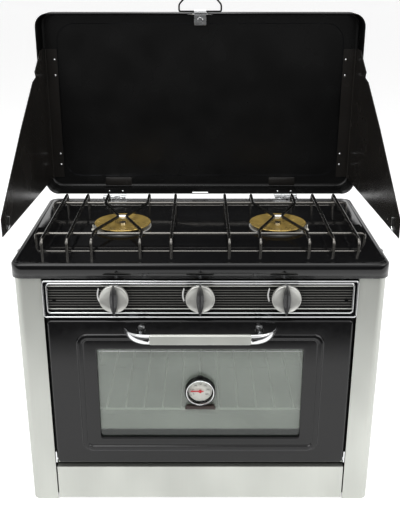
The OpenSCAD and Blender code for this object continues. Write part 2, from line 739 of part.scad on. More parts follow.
// Arms that carry the bar out from the door, with an outer crescent tip
module handle_brackets() {
    y = door_front - handle_out;
    color(chrome) both() difference() {
        union() {
            rod_y(boss_x, boss_z, y + 2, door_front, 7);
            translate([0, 0, boss_z - 6]) linear_extrude(12) polygon([[handle_half, y - 6], [handle_half, y],
                [boss_x - 6, y + 9], [boss_x + 6, y + 14], [boss_x + 21, y + 26], [boss_x + 20, y + 16], [boss_x + 8, y]]);
        }
        rod_y(boss_x, boss_z, door_front - 12, door_front + 1, 2.05);
    }
}
module handle_screws() {
    color(steel) both() union() {
        rod_y(boss_x, boss_z, door_front - 11, door_front + door_sheet, 2);
        rod_y(boss_x, boss_z, door_front + door_sheet, door_front + door_sheet + 3, 4);
    }
}
// Thermometer on the glass
module thermometer_case() {
    r = gauge_d / 2;
    color(chrome) difference() {
        union() {
            rod_y(0, gauge_z, gauge_y1 - gauge_t, gauge_y1, r);
            rod_y(0, gauge_z, gauge_y1, glass_y1 + 4, gauge_stem_r);
            box([-5, gauge_y1 - 6, gauge_z + r - 3], [5, gauge_y1 - 2, gauge_z + r + 4]);
        }
        rod_y(0, gauge_z, gauge_y1 - gauge_t - 1, gauge_y1 - 2, r - 3);
    }
}
module thermometer_dial() {
    color("white") difference() {
        rod_y(0, gauge_z, gauge_y1 - 3, gauge_y1 - 2, gauge_d / 2 - 3.2);
        rod_y(0, gauge_z, gauge_y1 - 4, gauge_y1, 1.2);
    }
}
module thermometer_lens() {
    color("white", 0.3) rod_y(0, gauge_z, gauge_y1 - gauge_t + 0.6, gauge_y1 - gauge_t + 1.8, gauge_d / 2 - 3.05);
}
module thermometer_foot() {
    z = gauge_z - gauge_d / 2;
    color("#3a2a20") translate([0, gauge_y1, 0]) rotate([90, 0, 0]) linear_extrude(7)
        polygon([[-18, z - 8], [18, z - 8], [23, z - 1.2], [-23, z - 1.2]]);
}
module thermometer_needle() {
    y = gauge_y1 - 5;
    color("red") union() {
        rod_y(0, gauge_z, y - 0.5, gauge_y1 - 2.05, 1.1);
        box([-14, y - 0.5, gauge_z - 0.7], [5, y + 0.5, gauge_z + 0.7]);
        rod_y(0, gauge_z, y - 1, y + 0.5, 2.4);
    }
}

left_side_panel();
right_side_panel();
kick_panel();
base_tray();
rear_panel();
door_surround();
door_gasket();
oven_liner();
rack_guides();
oven_rack();
oven_burner();
flame_deflector();
cooktop_pan();
burner_bodies();
burner_caps();
burner_screws();
igniter_electrodes();
burner_tubes();
gas_manifold();
gas_inlet();
control_panel();
panel_bezel();
panel_screws();
valve_left();
valve_centre();
valve_right();
stem_left();
stem_centre();
stem_right();
knob_left();
knob_centre();
knob_right();
pan_grate();
clip_anchors();
lid_hinge_bases();
lid_shell();
lid_hinge_leaves();
lid_rivets();
latch_strap();
latch_bail();
left_wing_hinge();
right_wing_hinge();
left_windshield();
right_windshield();
left_clip();
right_clip();
door_outer_panel();
door_inner_panel();
door_glass();
door_hinge_blocks();
door_hinge_pins();
handle_bar();
handle_brackets();
handle_screws();
thermometer_case();
thermometer_dial();
thermometer_lens();
thermometer_foot();
thermometer_needle();
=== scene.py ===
import math

import bmesh
import bpy
from mathutils import Matrix, Vector


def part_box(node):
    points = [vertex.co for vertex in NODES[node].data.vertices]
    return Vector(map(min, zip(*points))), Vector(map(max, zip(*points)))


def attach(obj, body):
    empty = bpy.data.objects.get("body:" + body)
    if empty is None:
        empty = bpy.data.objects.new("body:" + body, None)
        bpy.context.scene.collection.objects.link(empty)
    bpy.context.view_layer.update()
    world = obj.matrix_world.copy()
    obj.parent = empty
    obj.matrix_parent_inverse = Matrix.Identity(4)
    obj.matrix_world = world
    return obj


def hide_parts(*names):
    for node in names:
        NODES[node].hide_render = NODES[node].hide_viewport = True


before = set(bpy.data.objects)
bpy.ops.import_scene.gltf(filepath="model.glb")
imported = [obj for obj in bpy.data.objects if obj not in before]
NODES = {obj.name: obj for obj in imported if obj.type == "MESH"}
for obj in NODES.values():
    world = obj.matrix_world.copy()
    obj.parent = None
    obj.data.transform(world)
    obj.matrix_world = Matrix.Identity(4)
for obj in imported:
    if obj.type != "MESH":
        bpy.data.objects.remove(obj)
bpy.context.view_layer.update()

bl_info = {
    "name": "Folding Camp Oven",
    "version": (1, 0, 0),
    "blender": (4, 5, 0),
    "location": "View3D > Sidebar > Camp Oven",
    "description": "Dresses a two-burner camp cooker with an oven, a folding lid and windshields",
    "category": "Object",
}

# Millimetres in a metre; meshes are shaped in millimetres
MM = 1000


def linear(text):
    """Turns an sRGB hex colour such as #C8C8C6 into linear red, green, blue and alpha."""
    parts = [int(text[i:i + 2], 16) / 255 for i in (1, 3, 5)]
    return [c / 12.92 if c <= 0.04045 else ((c + 0.055) / 1.055) ** 2.4 for c in parts] + [1.0]


def limits(node):
    """Lowest and highest corner of a CAD node at rest, in millimetres."""
    low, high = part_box(node)
    return Vector(low) * MM, Vector(high) * MM


LID_LOW, LID_HIGH = limits("lid_shell")
PAN_LOW, PAN_HIGH = limits("cooktop_pan")
DOOR_LOW, DOOR_HIGH = limits("door_outer_panel")
BEZEL_LOW, BEZEL_HIGH = limits("panel_bezel")

# Places that several pieces share, in millimetres
PAN_FLOOR = PAN_LOW.z + 11
BURNER_X = 122
HINGE_X = 152
KNOB_PITCH = 120.5
KNOB_LEVEL = 350
GAUGE_LEVEL = 198

# Directions of turned pieces
UPWARD = (0, 0, 1)
FRONTWARD = (0, -1, 0)


# Settings that a user would change

class CampOvenSizes(bpy.types.PropertyGroup):
    """Sizes of the dressed pieces"""

    lid_corner: bpy.props.FloatProperty(
        name="Lid Corner", description="Radius of the lid's outer corners",
        default=0.022, unit="LENGTH")
    lid_fold: bpy.props.FloatProperty(
        name="Lid Fold", description="Radius of the fold between the lid's flange and skirt",
        default=0.005, unit="LENGTH")
    recess_corner: bpy.props.FloatProperty(
        name="Recess Corner", description="Radius of the corners of the lid's pressed recess",
        default=0.030, unit="LENGTH")
    recess_depth: bpy.props.FloatProperty(
        name="Recess Depth", description="Depth of the lid's pressed recess",
        default=0.0095, unit="LENGTH")
    pan_rim: bpy.props.FloatProperty(
        name="Pan Rim", description="Width of the cooktop pan's flat rim",
        default=0.009, unit="LENGTH")
    bead_width: bpy.props.FloatProperty(
        name="Door Bead", description="Width of the raised bead round the door's window",
        default=0.008, unit="LENGTH")
    grate_wire: bpy.props.FloatProperty(
        name="Grate Wire", description="Diameter of the pan support's wire",
        default=0.005, unit="LENGTH")
    bail_wire: bpy.props.FloatProperty(
        name="Bail Wire", description="Diameter of the latch bail's wire",
        default=0.003, unit="LENGTH")


class CampOvenColours(bpy.types.PropertyGroup):
    """Colours of the finishes"""

    steel: bpy.props.FloatVectorProperty(
        name="Stainless", description="Brushed stainless steel of the body",
        default=linear("#C2C4BE"), size=4, subtype="COLOR")
    enamel: bpy.props.FloatVectorProperty(
        name="Enamel", description="Gloss black enamel of the cooktop and door",
        default=linear("#0C0C0D"), size=4, subtype="COLOR")
    satin: bpy.props.FloatVectorProperty(
        name="Satin Black", description="Satin black paint of the lid and the door surround",
        default=linear("#0A0A0A"), size=4, subtype="COLOR")
    shield: bpy.props.FloatVectorProperty(
        name="Windshields", description="Satin paint of the windshields, a little paler than the lid's",
        default=linear("#211F1D"), size=4, subtype="COLOR")
    cap: bpy.props.FloatVectorProperty(
        name="Burner Cap", description="Gold of the heat-tinted brass burner caps",
        default=linear("#BFA25A"), size=4, subtype="COLOR")
    needle: bpy.props.FloatVectorProperty(
        name="Needle", description="Red of the thermometer's needle",
        default=linear("#C0202A"), size=4, subtype="COLOR")


# Shader helpers

def add(tree, kind, settings=None, inputs=None):
    """Adds one shader node, sets its settings, and sets or links its inputs."""
    node = tree.nodes.new(kind)
    for key, value in (settings or {}).items():
        setattr(node, key, value)
    for key, value in (inputs or {}).items():
        if isinstance(value, bpy.types.NodeSocket):
            tree.links.new(value, node.inputs[key])
        else:
            node.inputs[key].default_value = value
    return node


def surface(name):
    """Makes an empty material and returns it with its tree, its shader and its object coordinates."""
    material = bpy.data.materials.new(name)
    material.use_nodes = True
    tree = material.node_tree
    tree.nodes.clear()
    shader = add(tree, "ShaderNodeBsdfPrincipled")
    add(tree, "ShaderNodeOutputMaterial", inputs={"Surface": shader.outputs["BSDF"]})
    place = add(tree, "ShaderNodeTexCoord").outputs["Object"]
    return material, tree, shader, place


def grain(tree, place, stretch, detail=3.0):
    """Noise whose cells have the given number per metre along X, Y and Z."""
    moved = add(tree, "ShaderNodeMapping", inputs={"Vector": place, "Scale": stretch})
    return add(tree, "ShaderNodeTexNoise", inputs={
        "Vector": moved.outputs["Vector"], "Scale": 1.0, "Detail": detail, "Roughness": 0.6,
    }).outputs["Fac"]


def between(tree, factor, low, high):
    """Maps a factor of 0 to 1 to a number between low and high."""
    return add(tree, "ShaderNodeMapRange", inputs={
        "Value": factor, "From Min": 0.3, "From Max": 0.7, "To Min": low, "To Max": high,
    }).outputs["Result"]


def tint(tree, factor, colour, low, high):
    """Lightens or darkens a colour with a factor, from low to high times its own brightness."""
    dark = [c * low for c in colour[:3]] + [1.0]
    light = [min(c * high, 1.0) for c in colour[:3]] + [1.0]
    ramp = add(tree, "ShaderNodeValToRGB", inputs={"Fac": factor})
    ramp.color_ramp.elements[0].position = 0.3
    ramp.color_ramp.elements[0].color = dark
    ramp.color_ramp.elements[1].position = 0.7
    ramp.color_ramp.elements[1].color = light
    return ramp.outputs["Color"]


def link(tree, shader, **sockets):
    """Links sockets to the shader's inputs; an underscore in a name stands for a space."""
    for name, socket in sockets.items():
        tree.links.new(socket, shader.inputs[name.replace("_", " ")])


def relief(tree, shader, height, strength, distance):
    """Gives the shader a fine relief from a height."""
    made = add(tree, "ShaderNodeBump", inputs={
        "Strength": strength, "Distance": distance, "Height": height})
    link(tree, shader, Normal=made.outputs["Normal"])


def constant(shader, **values):
    """Sets values on the shader's own inputs; an underscore in a name stands for a space."""
    for name, value in values.items():
        shader.inputs[name.replace("_", " ")].default_value = value


def mottled(name, stretch, colour, tones, rough, detail=3.0, raised=None, **values):
    """Makes a material whose colour, roughness and, where asked, relief follow one noise."""
    material, tree, shader, place = surface(name)
    noise = grain(tree, place, stretch, detail)
    link(tree, shader, Base_Color=tint(tree, noise, colour, *tones), Roughness=between(tree, noise, *rough))
    if raised:
        relief(tree, shader, noise, *raised)
    constant(shader, **values)
    return material


# Materials, each named for the real finish

def brushed_stainless(colour):
    """Rolled stainless sheet, finely brushed: faint upright streaks, cloudy tone, a soft wide highlight."""
    # Real brush lines are about 0.2 mm apart; they are drawn 2 mm apart so that they show
    material, tree, shader, place = surface("brushed_stainless")
    streaks = grain(tree, place, (500, 500, 5))
    clouds = grain(tree, place, (9, 9, 4), 2.0)
    link(tree, shader, Base_Color=tint(tree, clouds, colour, 0.84, 1.06),
         Roughness=between(tree, streaks, 0.38, 0.46))
    constant(shader, Metallic=0.75)
    relief(tree, shader, streaks, 0.04, 0.0003)
    return material


def gloss_enamel(colour):
    """Vitreous enamel fired on steel: deep black, wet gloss, the faint orange peel of the glaze."""
    # Orange peel waves are about 8 mm wide
    material, tree, shader, place = surface("gloss_enamel")
    waves = grain(tree, place, (120, 120, 120), 1.0)
    specks = grain(tree, place, (900, 900, 900))
    link(tree, shader, Base_Color=tint(tree, specks, colour, 0.8, 1.3),
         Roughness=between(tree, waves, 0.08, 0.14))
    constant(shader, IOR=1.52, Specular_IOR_Level=0.36)
    relief(tree, shader, waves, 0.05, 0.0003)
    return material


def satin_paint(colour):
    """Satin black powder coat baked on sheet: fine grit that softens every reflection."""
    # Powder grit is about 1 mm wide
    material, tree, shader, place = surface("satin_powder_coat")
    grit = grain(tree, place, (1000, 1000, 1000), 2.0)
    clouds = grain(tree, place, (14, 14, 14), 2.0)
    link(tree, shader, Base_Color=tint(tree, clouds, colour, 0.85, 1.15),
         Roughness=between(tree, clouds, 0.22, 0.29))
    constant(shader, IOR=1.5, Specular_IOR_Level=0.24)
    relief(tree, shader, grit, 0.12, 0.0002)
    return material


def chrome_plate():
    """Bright chrome plate on steel: near mirror, with faint polishing haze."""
    return mottled(
        "chrome_plate", (60, 60, 240), linear("#D8D9DA"), (0.94, 1.06), (0.08, 0.16),
        Metallic=1.0)


def nickel_wire():
    """Drawn steel wire, black nickel plated: dark grey with a soft line of light along it."""
    # Draw marks are about 1.5 mm apart along the wire
    return mottled(
        "nickel_wire", (650, 60, 650), linear("#6A6864"), (0.8, 1.15), (0.16, 0.28),
        raised=(0.1, 0.0002), Metallic=1.0)


def tinted_brass(colour):
    """Turned brass, warmed by the flame: gold with browner clouds and turning rings."""
    material, tree, shader, place = surface("heat_tinted_brass")
    clouds = grain(tree, place, (70, 70, 70))
    link(tree, shader, Base_Color=tint(tree, clouds, colour, 0.75, 1.15),
         Roughness=between(tree, clouds, 0.18, 0.28))
    constant(shader, Metallic=0.55)
    relief(tree, shader, grain(tree, place, (90, 90, 90), 1.0), 0.35, 0.0012)
    return material


def cast_aluminium():
    """Die-cast aluminium: pale grey, fine sandy grain."""
    # Casting grain is about 1 mm wide
    return mottled(
        "cast_aluminium", (900, 900, 900), linear("#C6C6C2"), (0.85, 1.1), (0.34, 0.5),
        raised=(0.25, 0.0002), Metallic=0.35)


def aluminised_steel():
    """Hot-dip aluminised sheet of the oven: grey-green, matt, with the spangle of the coating."""
    # Spangle cells are about 10 mm wide
    material, tree, shader, place = surface("aluminised_steel")
    cells = add(tree, "ShaderNodeTexVoronoi", inputs={"Vector": place, "Scale": 100.0})
    link(tree, shader, Base_Color=tint(tree, cells.outputs["Color"], linear("#A9B0A6"), 0.92, 1.06),
         Roughness=between(tree, grain(tree, place, (40, 40, 40)), 0.4, 0.55))
    constant(shader, Metallic=0.5)
    return material


def knob_metal():
    """Spun aluminium knob disc, satin silver, with fine turning marks."""
    return mottled(
        "satin_aluminium_knob", (120, 500, 120), linear("#C6C6C1"), (0.96, 1.04), (0.36, 0.42), 1.0,
        Metallic=0.8)


def grip_plastic():
    """Moulded grey ABS of the knob grips: fine spark-eroded grain and a soft sheen."""
    return mottled(
        "moulded_grey_abs", (1300, 1300, 1300), linear("#29292A"), (0.9, 1.1), (0.24, 0.32),
        raised=(0.12, 0.0001), IOR=1.53)


def rack_wire():
    """Drawn steel rod, bright zinc plated and passivated: pale, evenly lit, faint draw marks."""
    # Draw marks are about 2 mm apart
    return mottled(
        "bright_rack_wire", (500, 60, 500), linear("#F6F7F4"), (0.92, 1.0), (0.25, 0.35),
        Metallic=0.2)


def white_ceramic():
    """Glazed alumina insulator: warm white with a clear gloss."""
    return mottled(
        "glazed_ceramic", (200, 200, 200), linear("#E6E2D8"), (0.95, 1.03), (0.14, 0.22),
        Coat_Weight=0.4)


def window_glass():
    """Toughened float glass, 4 mm, hazed by heat: grey-green, milky; below the sill line its colour is
    darkened, a painted shade for the shaded sill seen through it.
    """
    material, tree, shader, place = surface("toughened_glass")
    haze = grain(tree, place, (9, 9, 14), 1.0)
    height = add(tree, "ShaderNodeSeparateXYZ", inputs={"Vector": place}).outputs["Z"]
    # Painted shade: under about 0.13 m the glass takes a dark grey-green, where the shaded inner sill lies
    # behind it
    above = add(tree, "ShaderNodeMapRange", inputs={
        "Value": height, "From Min": 0.1290, "From Max": 0.1300}).outputs["Result"]
    colours = add(tree, "ShaderNodeMix", {"data_type": "RGBA"}, {
        0: above, 6: linear("#4E5650"), 7: tint(tree, haze, linear("#CED7CD"), 0.9, 1.06)})
    link(tree, shader, Base_Color=colours.outputs[2], Roughness=between(tree, haze, 0.03, 0.08))
    constant(shader, Transmission_Weight=0.8, IOR=1.5)
    return material


def gauge_glass():
    """Thin pressed lens of the thermometer: clear and glossy."""
    return mottled(
        "gauge_glass", (120, 120, 120), linear("#FAFAFA"), (0.99, 1.0), (0.0, 0.02),
        Transmission_Weight=1.0, IOR=1.12)


def fibre_gasket():
    """Braided glass-fibre rope: charcoal, with a slanting braid."""
    # Braid strands are about 3 mm wide
    material, tree, shader, place = surface("braided_gasket")
    slanted = add(tree, "ShaderNodeMapping", inputs={"Vector": place, "Rotation": (0.0, 0.7, 0.0)})
    strands = add(tree, "ShaderNodeTexWave", inputs={
        "Vector": slanted.outputs["Vector"], "Scale": 52.0, "Distortion": 1.0})
    link(tree, shader, Base_Color=tint(tree, strands.outputs["Fac"], linear("#3A3A3A"), 0.6, 1.3))
    constant(shader, Roughness=0.9)
    relief(tree, shader, strands.outputs["Fac"], 0.6, 0.001)
    return material


def dial_enamel():
    """Printed dial plate: pale enamel, slightly mottled."""
    return mottled(
        "dial_enamel", (160, 160, 160), linear("#DADAD2"), (0.95, 1.03), (0.38, 0.46))


def needle_paint(colour):
    """Red lacquer on a punched steel needle."""
    return mottled(
        "red_lacquer", (400, 400, 400), colour, (0.9, 1.1), (0.28, 0.36))


def foot_plastic():
    """Moulded dark brown phenolic under the thermometer: dense, with a low polish."""
    return mottled(
        "brown_phenolic", (260, 260, 260), linear("#2C1F1A"), (0.8, 1.25), (0.3, 0.4))


def printed_ink():
    """Black screen-printed ink of the dial numbers and marks; the dark strip of painted shade under the
    door's window uses it too.
    """
    return mottled(
        "screen_printed_ink", (900, 900, 900), linear("#18181A"), (0.8, 1.2), (0.45, 0.55))


def white_ink():
    """White screen-printed ink of the flame marks on the control panel."""
    return mottled(
        "white_printed_ink", (700, 700, 700), linear("#DEDEDC"), (0.94, 1.04), (0.45, 0.55))


def striped_panel():
    """Control panel sheet: gloss black lacquer, fine grey pinstripes between two bright lines."""
    # Pinstripes are 3.9 mm apart, and a wave of this scale repeats at that distance
    # The striped field is 29 mm high, and the bright lines over and under it are 1.4 mm wide
    material, tree, shader, place = surface("pinstriped_lacquer")
    height = add(tree, "ShaderNodeSeparateXYZ", inputs={"Vector": place}).outputs["Z"]
    waves = add(tree, "ShaderNodeTexWave", {"bands_direction": "Z"}, {
        "Vector": place, "Scale": 80.5, "Distortion": 0.0}).outputs["Fac"]
    thin = add(tree, "ShaderNodeMapRange", inputs={
        "Value": waves, "From Min": 0.84, "From Max": 0.97}).outputs["Result"]
    field = add(tree, "ShaderNodeMath", {"operation": "COMPARE"}, {0: height, 1: 0.346, 2: 0.0145})
    stripes = add(tree, "ShaderNodeMath", {"operation": "MULTIPLY"}, {0: field.outputs["Value"], 1: thin})
    upper = add(tree, "ShaderNodeMath", {"operation": "COMPARE"}, {0: height, 1: 0.3635, 2: 0.0007})
    lower = add(tree, "ShaderNodeMath", {"operation": "COMPARE"}, {0: height, 1: 0.3285, 2: 0.0007})
    lines = add(tree, "ShaderNodeMath", {"operation": "MAXIMUM"}, {
        0: upper.outputs["Value"], 1: lower.outputs["Value"]})
    grey = add(tree, "ShaderNodeMix", {"data_type": "RGBA"}, {
        0: stripes.outputs["Value"], 6: linear("#141413"), 7: linear("#6B6A66")})
    colours = add(tree, "ShaderNodeMix", {"data_type": "RGBA"}, {
        0: lines.outputs["Value"], 6: grey.outputs[2], 7: linear("#D6D5D0")})
    link(tree, shader, Base_Color=colours.outputs[2],
         Roughness=between(tree, grain(tree, place, (500, 500, 500)), 0.2, 0.28))
    constant(shader, IOR=1.5, Specular_IOR_Level=0.3)
    return material


def darkened_mirror_chrome():
    """Chrome given a dark grey colour, a painted dark reflection: the bezel's flat face shows nearly black,
    as if it mirrored a dark room.
    """
    return mottled(
        "darkened_mirror_chrome", (12, 12, 12), linear("#45464A"), (0.6, 1.3), (0.08, 0.14), 1.0,
        Metallic=1.0)


FINISHES = {}


def finish_for(name):
    """Returns a finish by its short name; all are made once, from the colours in the panel."""
    if not FINISHES:
        colours = bpy.context.scene.camp_oven_colours
        FINISHES.update({
            "stainless": brushed_stainless(colours.steel),
            "enamel": gloss_enamel(colours.enamel),
            "satin": satin_paint(colours.satin),
            "shield": satin_paint(colours.shield),
            "chrome": chrome_plate(),
            "nickel": nickel_wire(),
            "brass": tinted_brass(colours.cap),
            "aluminium": cast_aluminium(),
            "liner": aluminised_steel(),
            "knob": knob_metal(),
            "grip": grip_plastic(),
            "rack": rack_wire(),
            "ceramic": white_ceramic(),
            "glass": window_glass(),
            "lens": gauge_glass(),
            "gasket": fibre_gasket(),
            "dial": dial_enamel(),
            "needle": needle_paint(colours.needle),
            "foot": foot_plastic(),
            "ink": printed_ink(),
            "white_ink": white_ink(),
            "panel": striped_panel(),
            # Chrome darkened in colour: a painted dark reflection
            "darkened_mirror": darkened_mirror_chrome(),
        })
    return FINISHES[name]


def dress(finish, *names):
    """Gives every material slot of some CAD nodes one finish."""
    for name in names:
        for slot in NODES[name].material_slots:
            slot.material = finish_for(finish)


# Mesh helpers: every mesh is shaped in millimetres and scaled to metres at the end

def rounded_ring(bm, half, low, high, radius, depth):
    """Adds a rounded rectangle of edges that faces the front, and returns its edges."""
    before = set(bm.edges)
    corners = bmesh.ops.create_grid(bm, x_segments=1, y_segments=1, size=0.5)["verts"]
    bmesh.ops.scale(bm, vec=(2 * half, high - low, 1), verts=corners)
    bmesh.ops.rotate(bm, cent=(0, 0, 0), matrix=Matrix.Rotation(math.radians(90), 3, "X"), verts=corners)
    bmesh.ops.translate(bm, vec=(0, depth, (low + high) / 2), verts=corners)
    bmesh.ops.bevel(
        bm, geom=corners, offset=radius, offset_type="OFFSET", affect="VERTICES",
        segments=8, profile=0.5, material=-1, clamp_overlap=False)
    edges = [e for e in bm.edges if e not in before]
    faces = {f for e in edges for f in e.link_faces}
    bmesh.ops.delete(bm, geom=list(faces), context="FACES_ONLY")
    return edges


def pressing(bm, outlines, cap=True, closed=False):
    """Joins rounded rectangles (half width, low, high, radius, depth) in order, like pressed sheet."""
    rings = [rounded_ring(bm, *outline) for outline in outlines]
    if closed:
        rings.append(rings[0])
    for first, second in zip(rings, rings[1:]):
        bmesh.ops.bridge_loops(bm, edges=first + second)
    if cap:
        bmesh.ops.contextual_create(bm, geom=rings[-1])


def spread_outline(outline, spread, depth):
    """Outline (half width, low, high, radius) moved outwards all round, at a depth."""
    half, low, high, radius = outline
    return (half + spread, low - spread, high + spread, radius + spread, depth)


def fold(half, low, high, radius, depth, bend, sign=1):
    """Outlines of a quarter-round fold that turns a skirt into a flange of the given bend radius."""
    made = []
    steps = 4
    for i in range(1, steps + 1):
        angle = math.radians(90 * i / steps)
        inset = bend * (1 - math.cos(angle))
        made.append((half - inset, low + inset, high - inset, max(radius - inset, 0.5),
                     depth + sign * bend * math.sin(angle)))
    # One more outline just inside keeps the flange's shading flat
    inset = bend + 0.8
    made.append((half - inset, low + inset, high - inset, max(radius - inset, 0.5), depth + sign * bend))
    return made


def turned(bm, centre, axis, profile, steps):
    """Spins a profile of (radius, height) points round an axis through the centre."""
    before = set(bm.verts)
    verts = [bm.verts.new((r, 0, h)) for r, h in profile]
    edges = [bm.edges.new(pair) for pair in zip(verts, verts[1:])]
    bmesh.ops.spin(
        bm, geom=verts + edges, cent=(0, 0, 0), axis=(0, 0, 1), angle=2 * math.pi,
        steps=steps, use_merge=True)
    fresh = [v for v in bm.verts if v not in before]
    turn = Vector((0, 0, 1)).rotation_difference(Vector(axis)).to_matrix().to_4x4()
    bmesh.ops.transform(bm, matrix=Matrix.Translation(centre) @ turn, verts=fresh)


def eased_route(points, radius):
    """Rounds each inner corner of a route with a short quadratic arc."""
    route = [Vector(points[0])]
    steps = 5
    for before, corner, after in zip(points, points[1:], points[2:]):
        corner = Vector(corner)
        start = corner + (Vector(before) - corner).normalized() * radius
        end = corner + (Vector(after) - corner).normalized() * radius
        for i in range(steps + 1):
            t = i / steps
            route.append(start * (1 - t) ** 2 + corner * 2 * t * (1 - t) + end * t ** 2)
    route.append(Vector(points[-1]))
    return route


def bent_wire(bm, points, diameter, bend):
    """Adds a round wire along a route with rounded bends."""
    curve = bpy.data.curves.new("wire_route", "CURVE")
    curve.dimensions = "3D"
    curve.bevel_depth = diameter / 2
    curve.bevel_resolution = 3
    curve.use_fill_caps = True
    route = eased_route(points, bend)
    spline = curve.splines.new("POLY")
    spline.points.add(len(route) - 1)
    for point, place in zip(spline.points, route):
        point.co = (*place, 1.0)
    join_from(bm, bpy.data.objects.new("wire_route", curve))


def join_from(bm, obj):
    """Adds an object's finished shape to a mesh and removes the object."""
    bpy.context.scene.collection.objects.link(obj)
    graph = bpy.context.evaluated_depsgraph_get()
    mesh = bpy.data.meshes.new_from_object(obj.evaluated_get(graph))
    bm.from_mesh(mesh)
    bpy.data.meshes.remove(mesh)
    bpy.data.objects.remove(obj)


def place_piece(bm, name, finish, body, nodes=(), wall=0.0, smooth=38):
    """Turns a mesh in millimetres into a finished piece that rides on a body."""
    bmesh.ops.remove_doubles(bm, verts=bm.verts, dist=0.002)
    bmesh.ops.recalc_face_normals(bm, faces=bm.faces)
    bmesh.ops.scale(bm, vec=(1 / MM, 1 / MM, 1 / MM), verts=bm.verts)
    mesh = bpy.data.meshes.new(name)
    bm.to_mesh(mesh)
    bm.free()
    mesh.shade_smooth()
    mesh.set_sharp_from_angle(angle=math.radians(smooth))
    mesh.materials.append(finish_for(finish))
    piece = bpy.data.objects.new(name, mesh)
    bpy.context.scene.collection.objects.link(piece)
    if wall:
        sheet = piece.modifiers.new("Sheet", "SOLIDIFY")
        sheet.thickness = wall / MM
        sheet.offset = 0.0
    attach(piece, body)
    if nodes:
        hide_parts(*nodes)
    return piece


def softened(node, name, finish, body, width):
    """Copies a CAD node, merges its triangles and rounds its sharp edges by a width in millimetres."""
    bm = bmesh.new()
    bm.from_mesh(NODES[node].data)
    bmesh.ops.remove_doubles(bm, verts=bm.verts, dist=0.000005)
    bmesh.ops.dissolve_limit(bm, angle_limit=math.radians(1), verts=bm.verts, edges=bm.edges)
    bmesh.ops.scale(bm, vec=(MM, MM, MM), verts=bm.verts)
    piece = place_piece(bm, name, finish, body, [node])
    edge = piece.modifiers.new("Edge", "BEVEL")
    edge.width = width / MM
    edge.segments = 2
    edge.limit_method = "ANGLE"
    edge.angle_limit = math.radians(40)


def cut_window(bm, low, high):
    """Cuts a rectangular opening in the faces whose centres lie between two corners."""
    for axis in range(3):
        if high[axis] - low[axis] > 40:
            continue
        for limit in (low[axis], high[axis]):
            normal = [0, 0, 0]
            normal[axis] = 1
            place = [0, 0, 0]
            place[axis] = limit
            near = [f for f in bm.faces if all(
                min(v.co[i] for v in f.verts) < high[i] and max(v.co[i] for v in f.verts) > low[i]
                for i in range(3))]
            geom = near + list({e for f in near for e in f.edges}) + list({v for f in near for v in f.verts})
            bmesh.ops.bisect_plane(bm, geom=geom, plane_co=place, plane_no=normal, dist=0.0001)
    inside = [f for f in bm.faces if all(low[i] < f.calc_center_median()[i] < high[i] for i in range(3))]
    bmesh.ops.delete(bm, geom=inside, context="FACES")


# Operators, one for each piece or group of like pieces

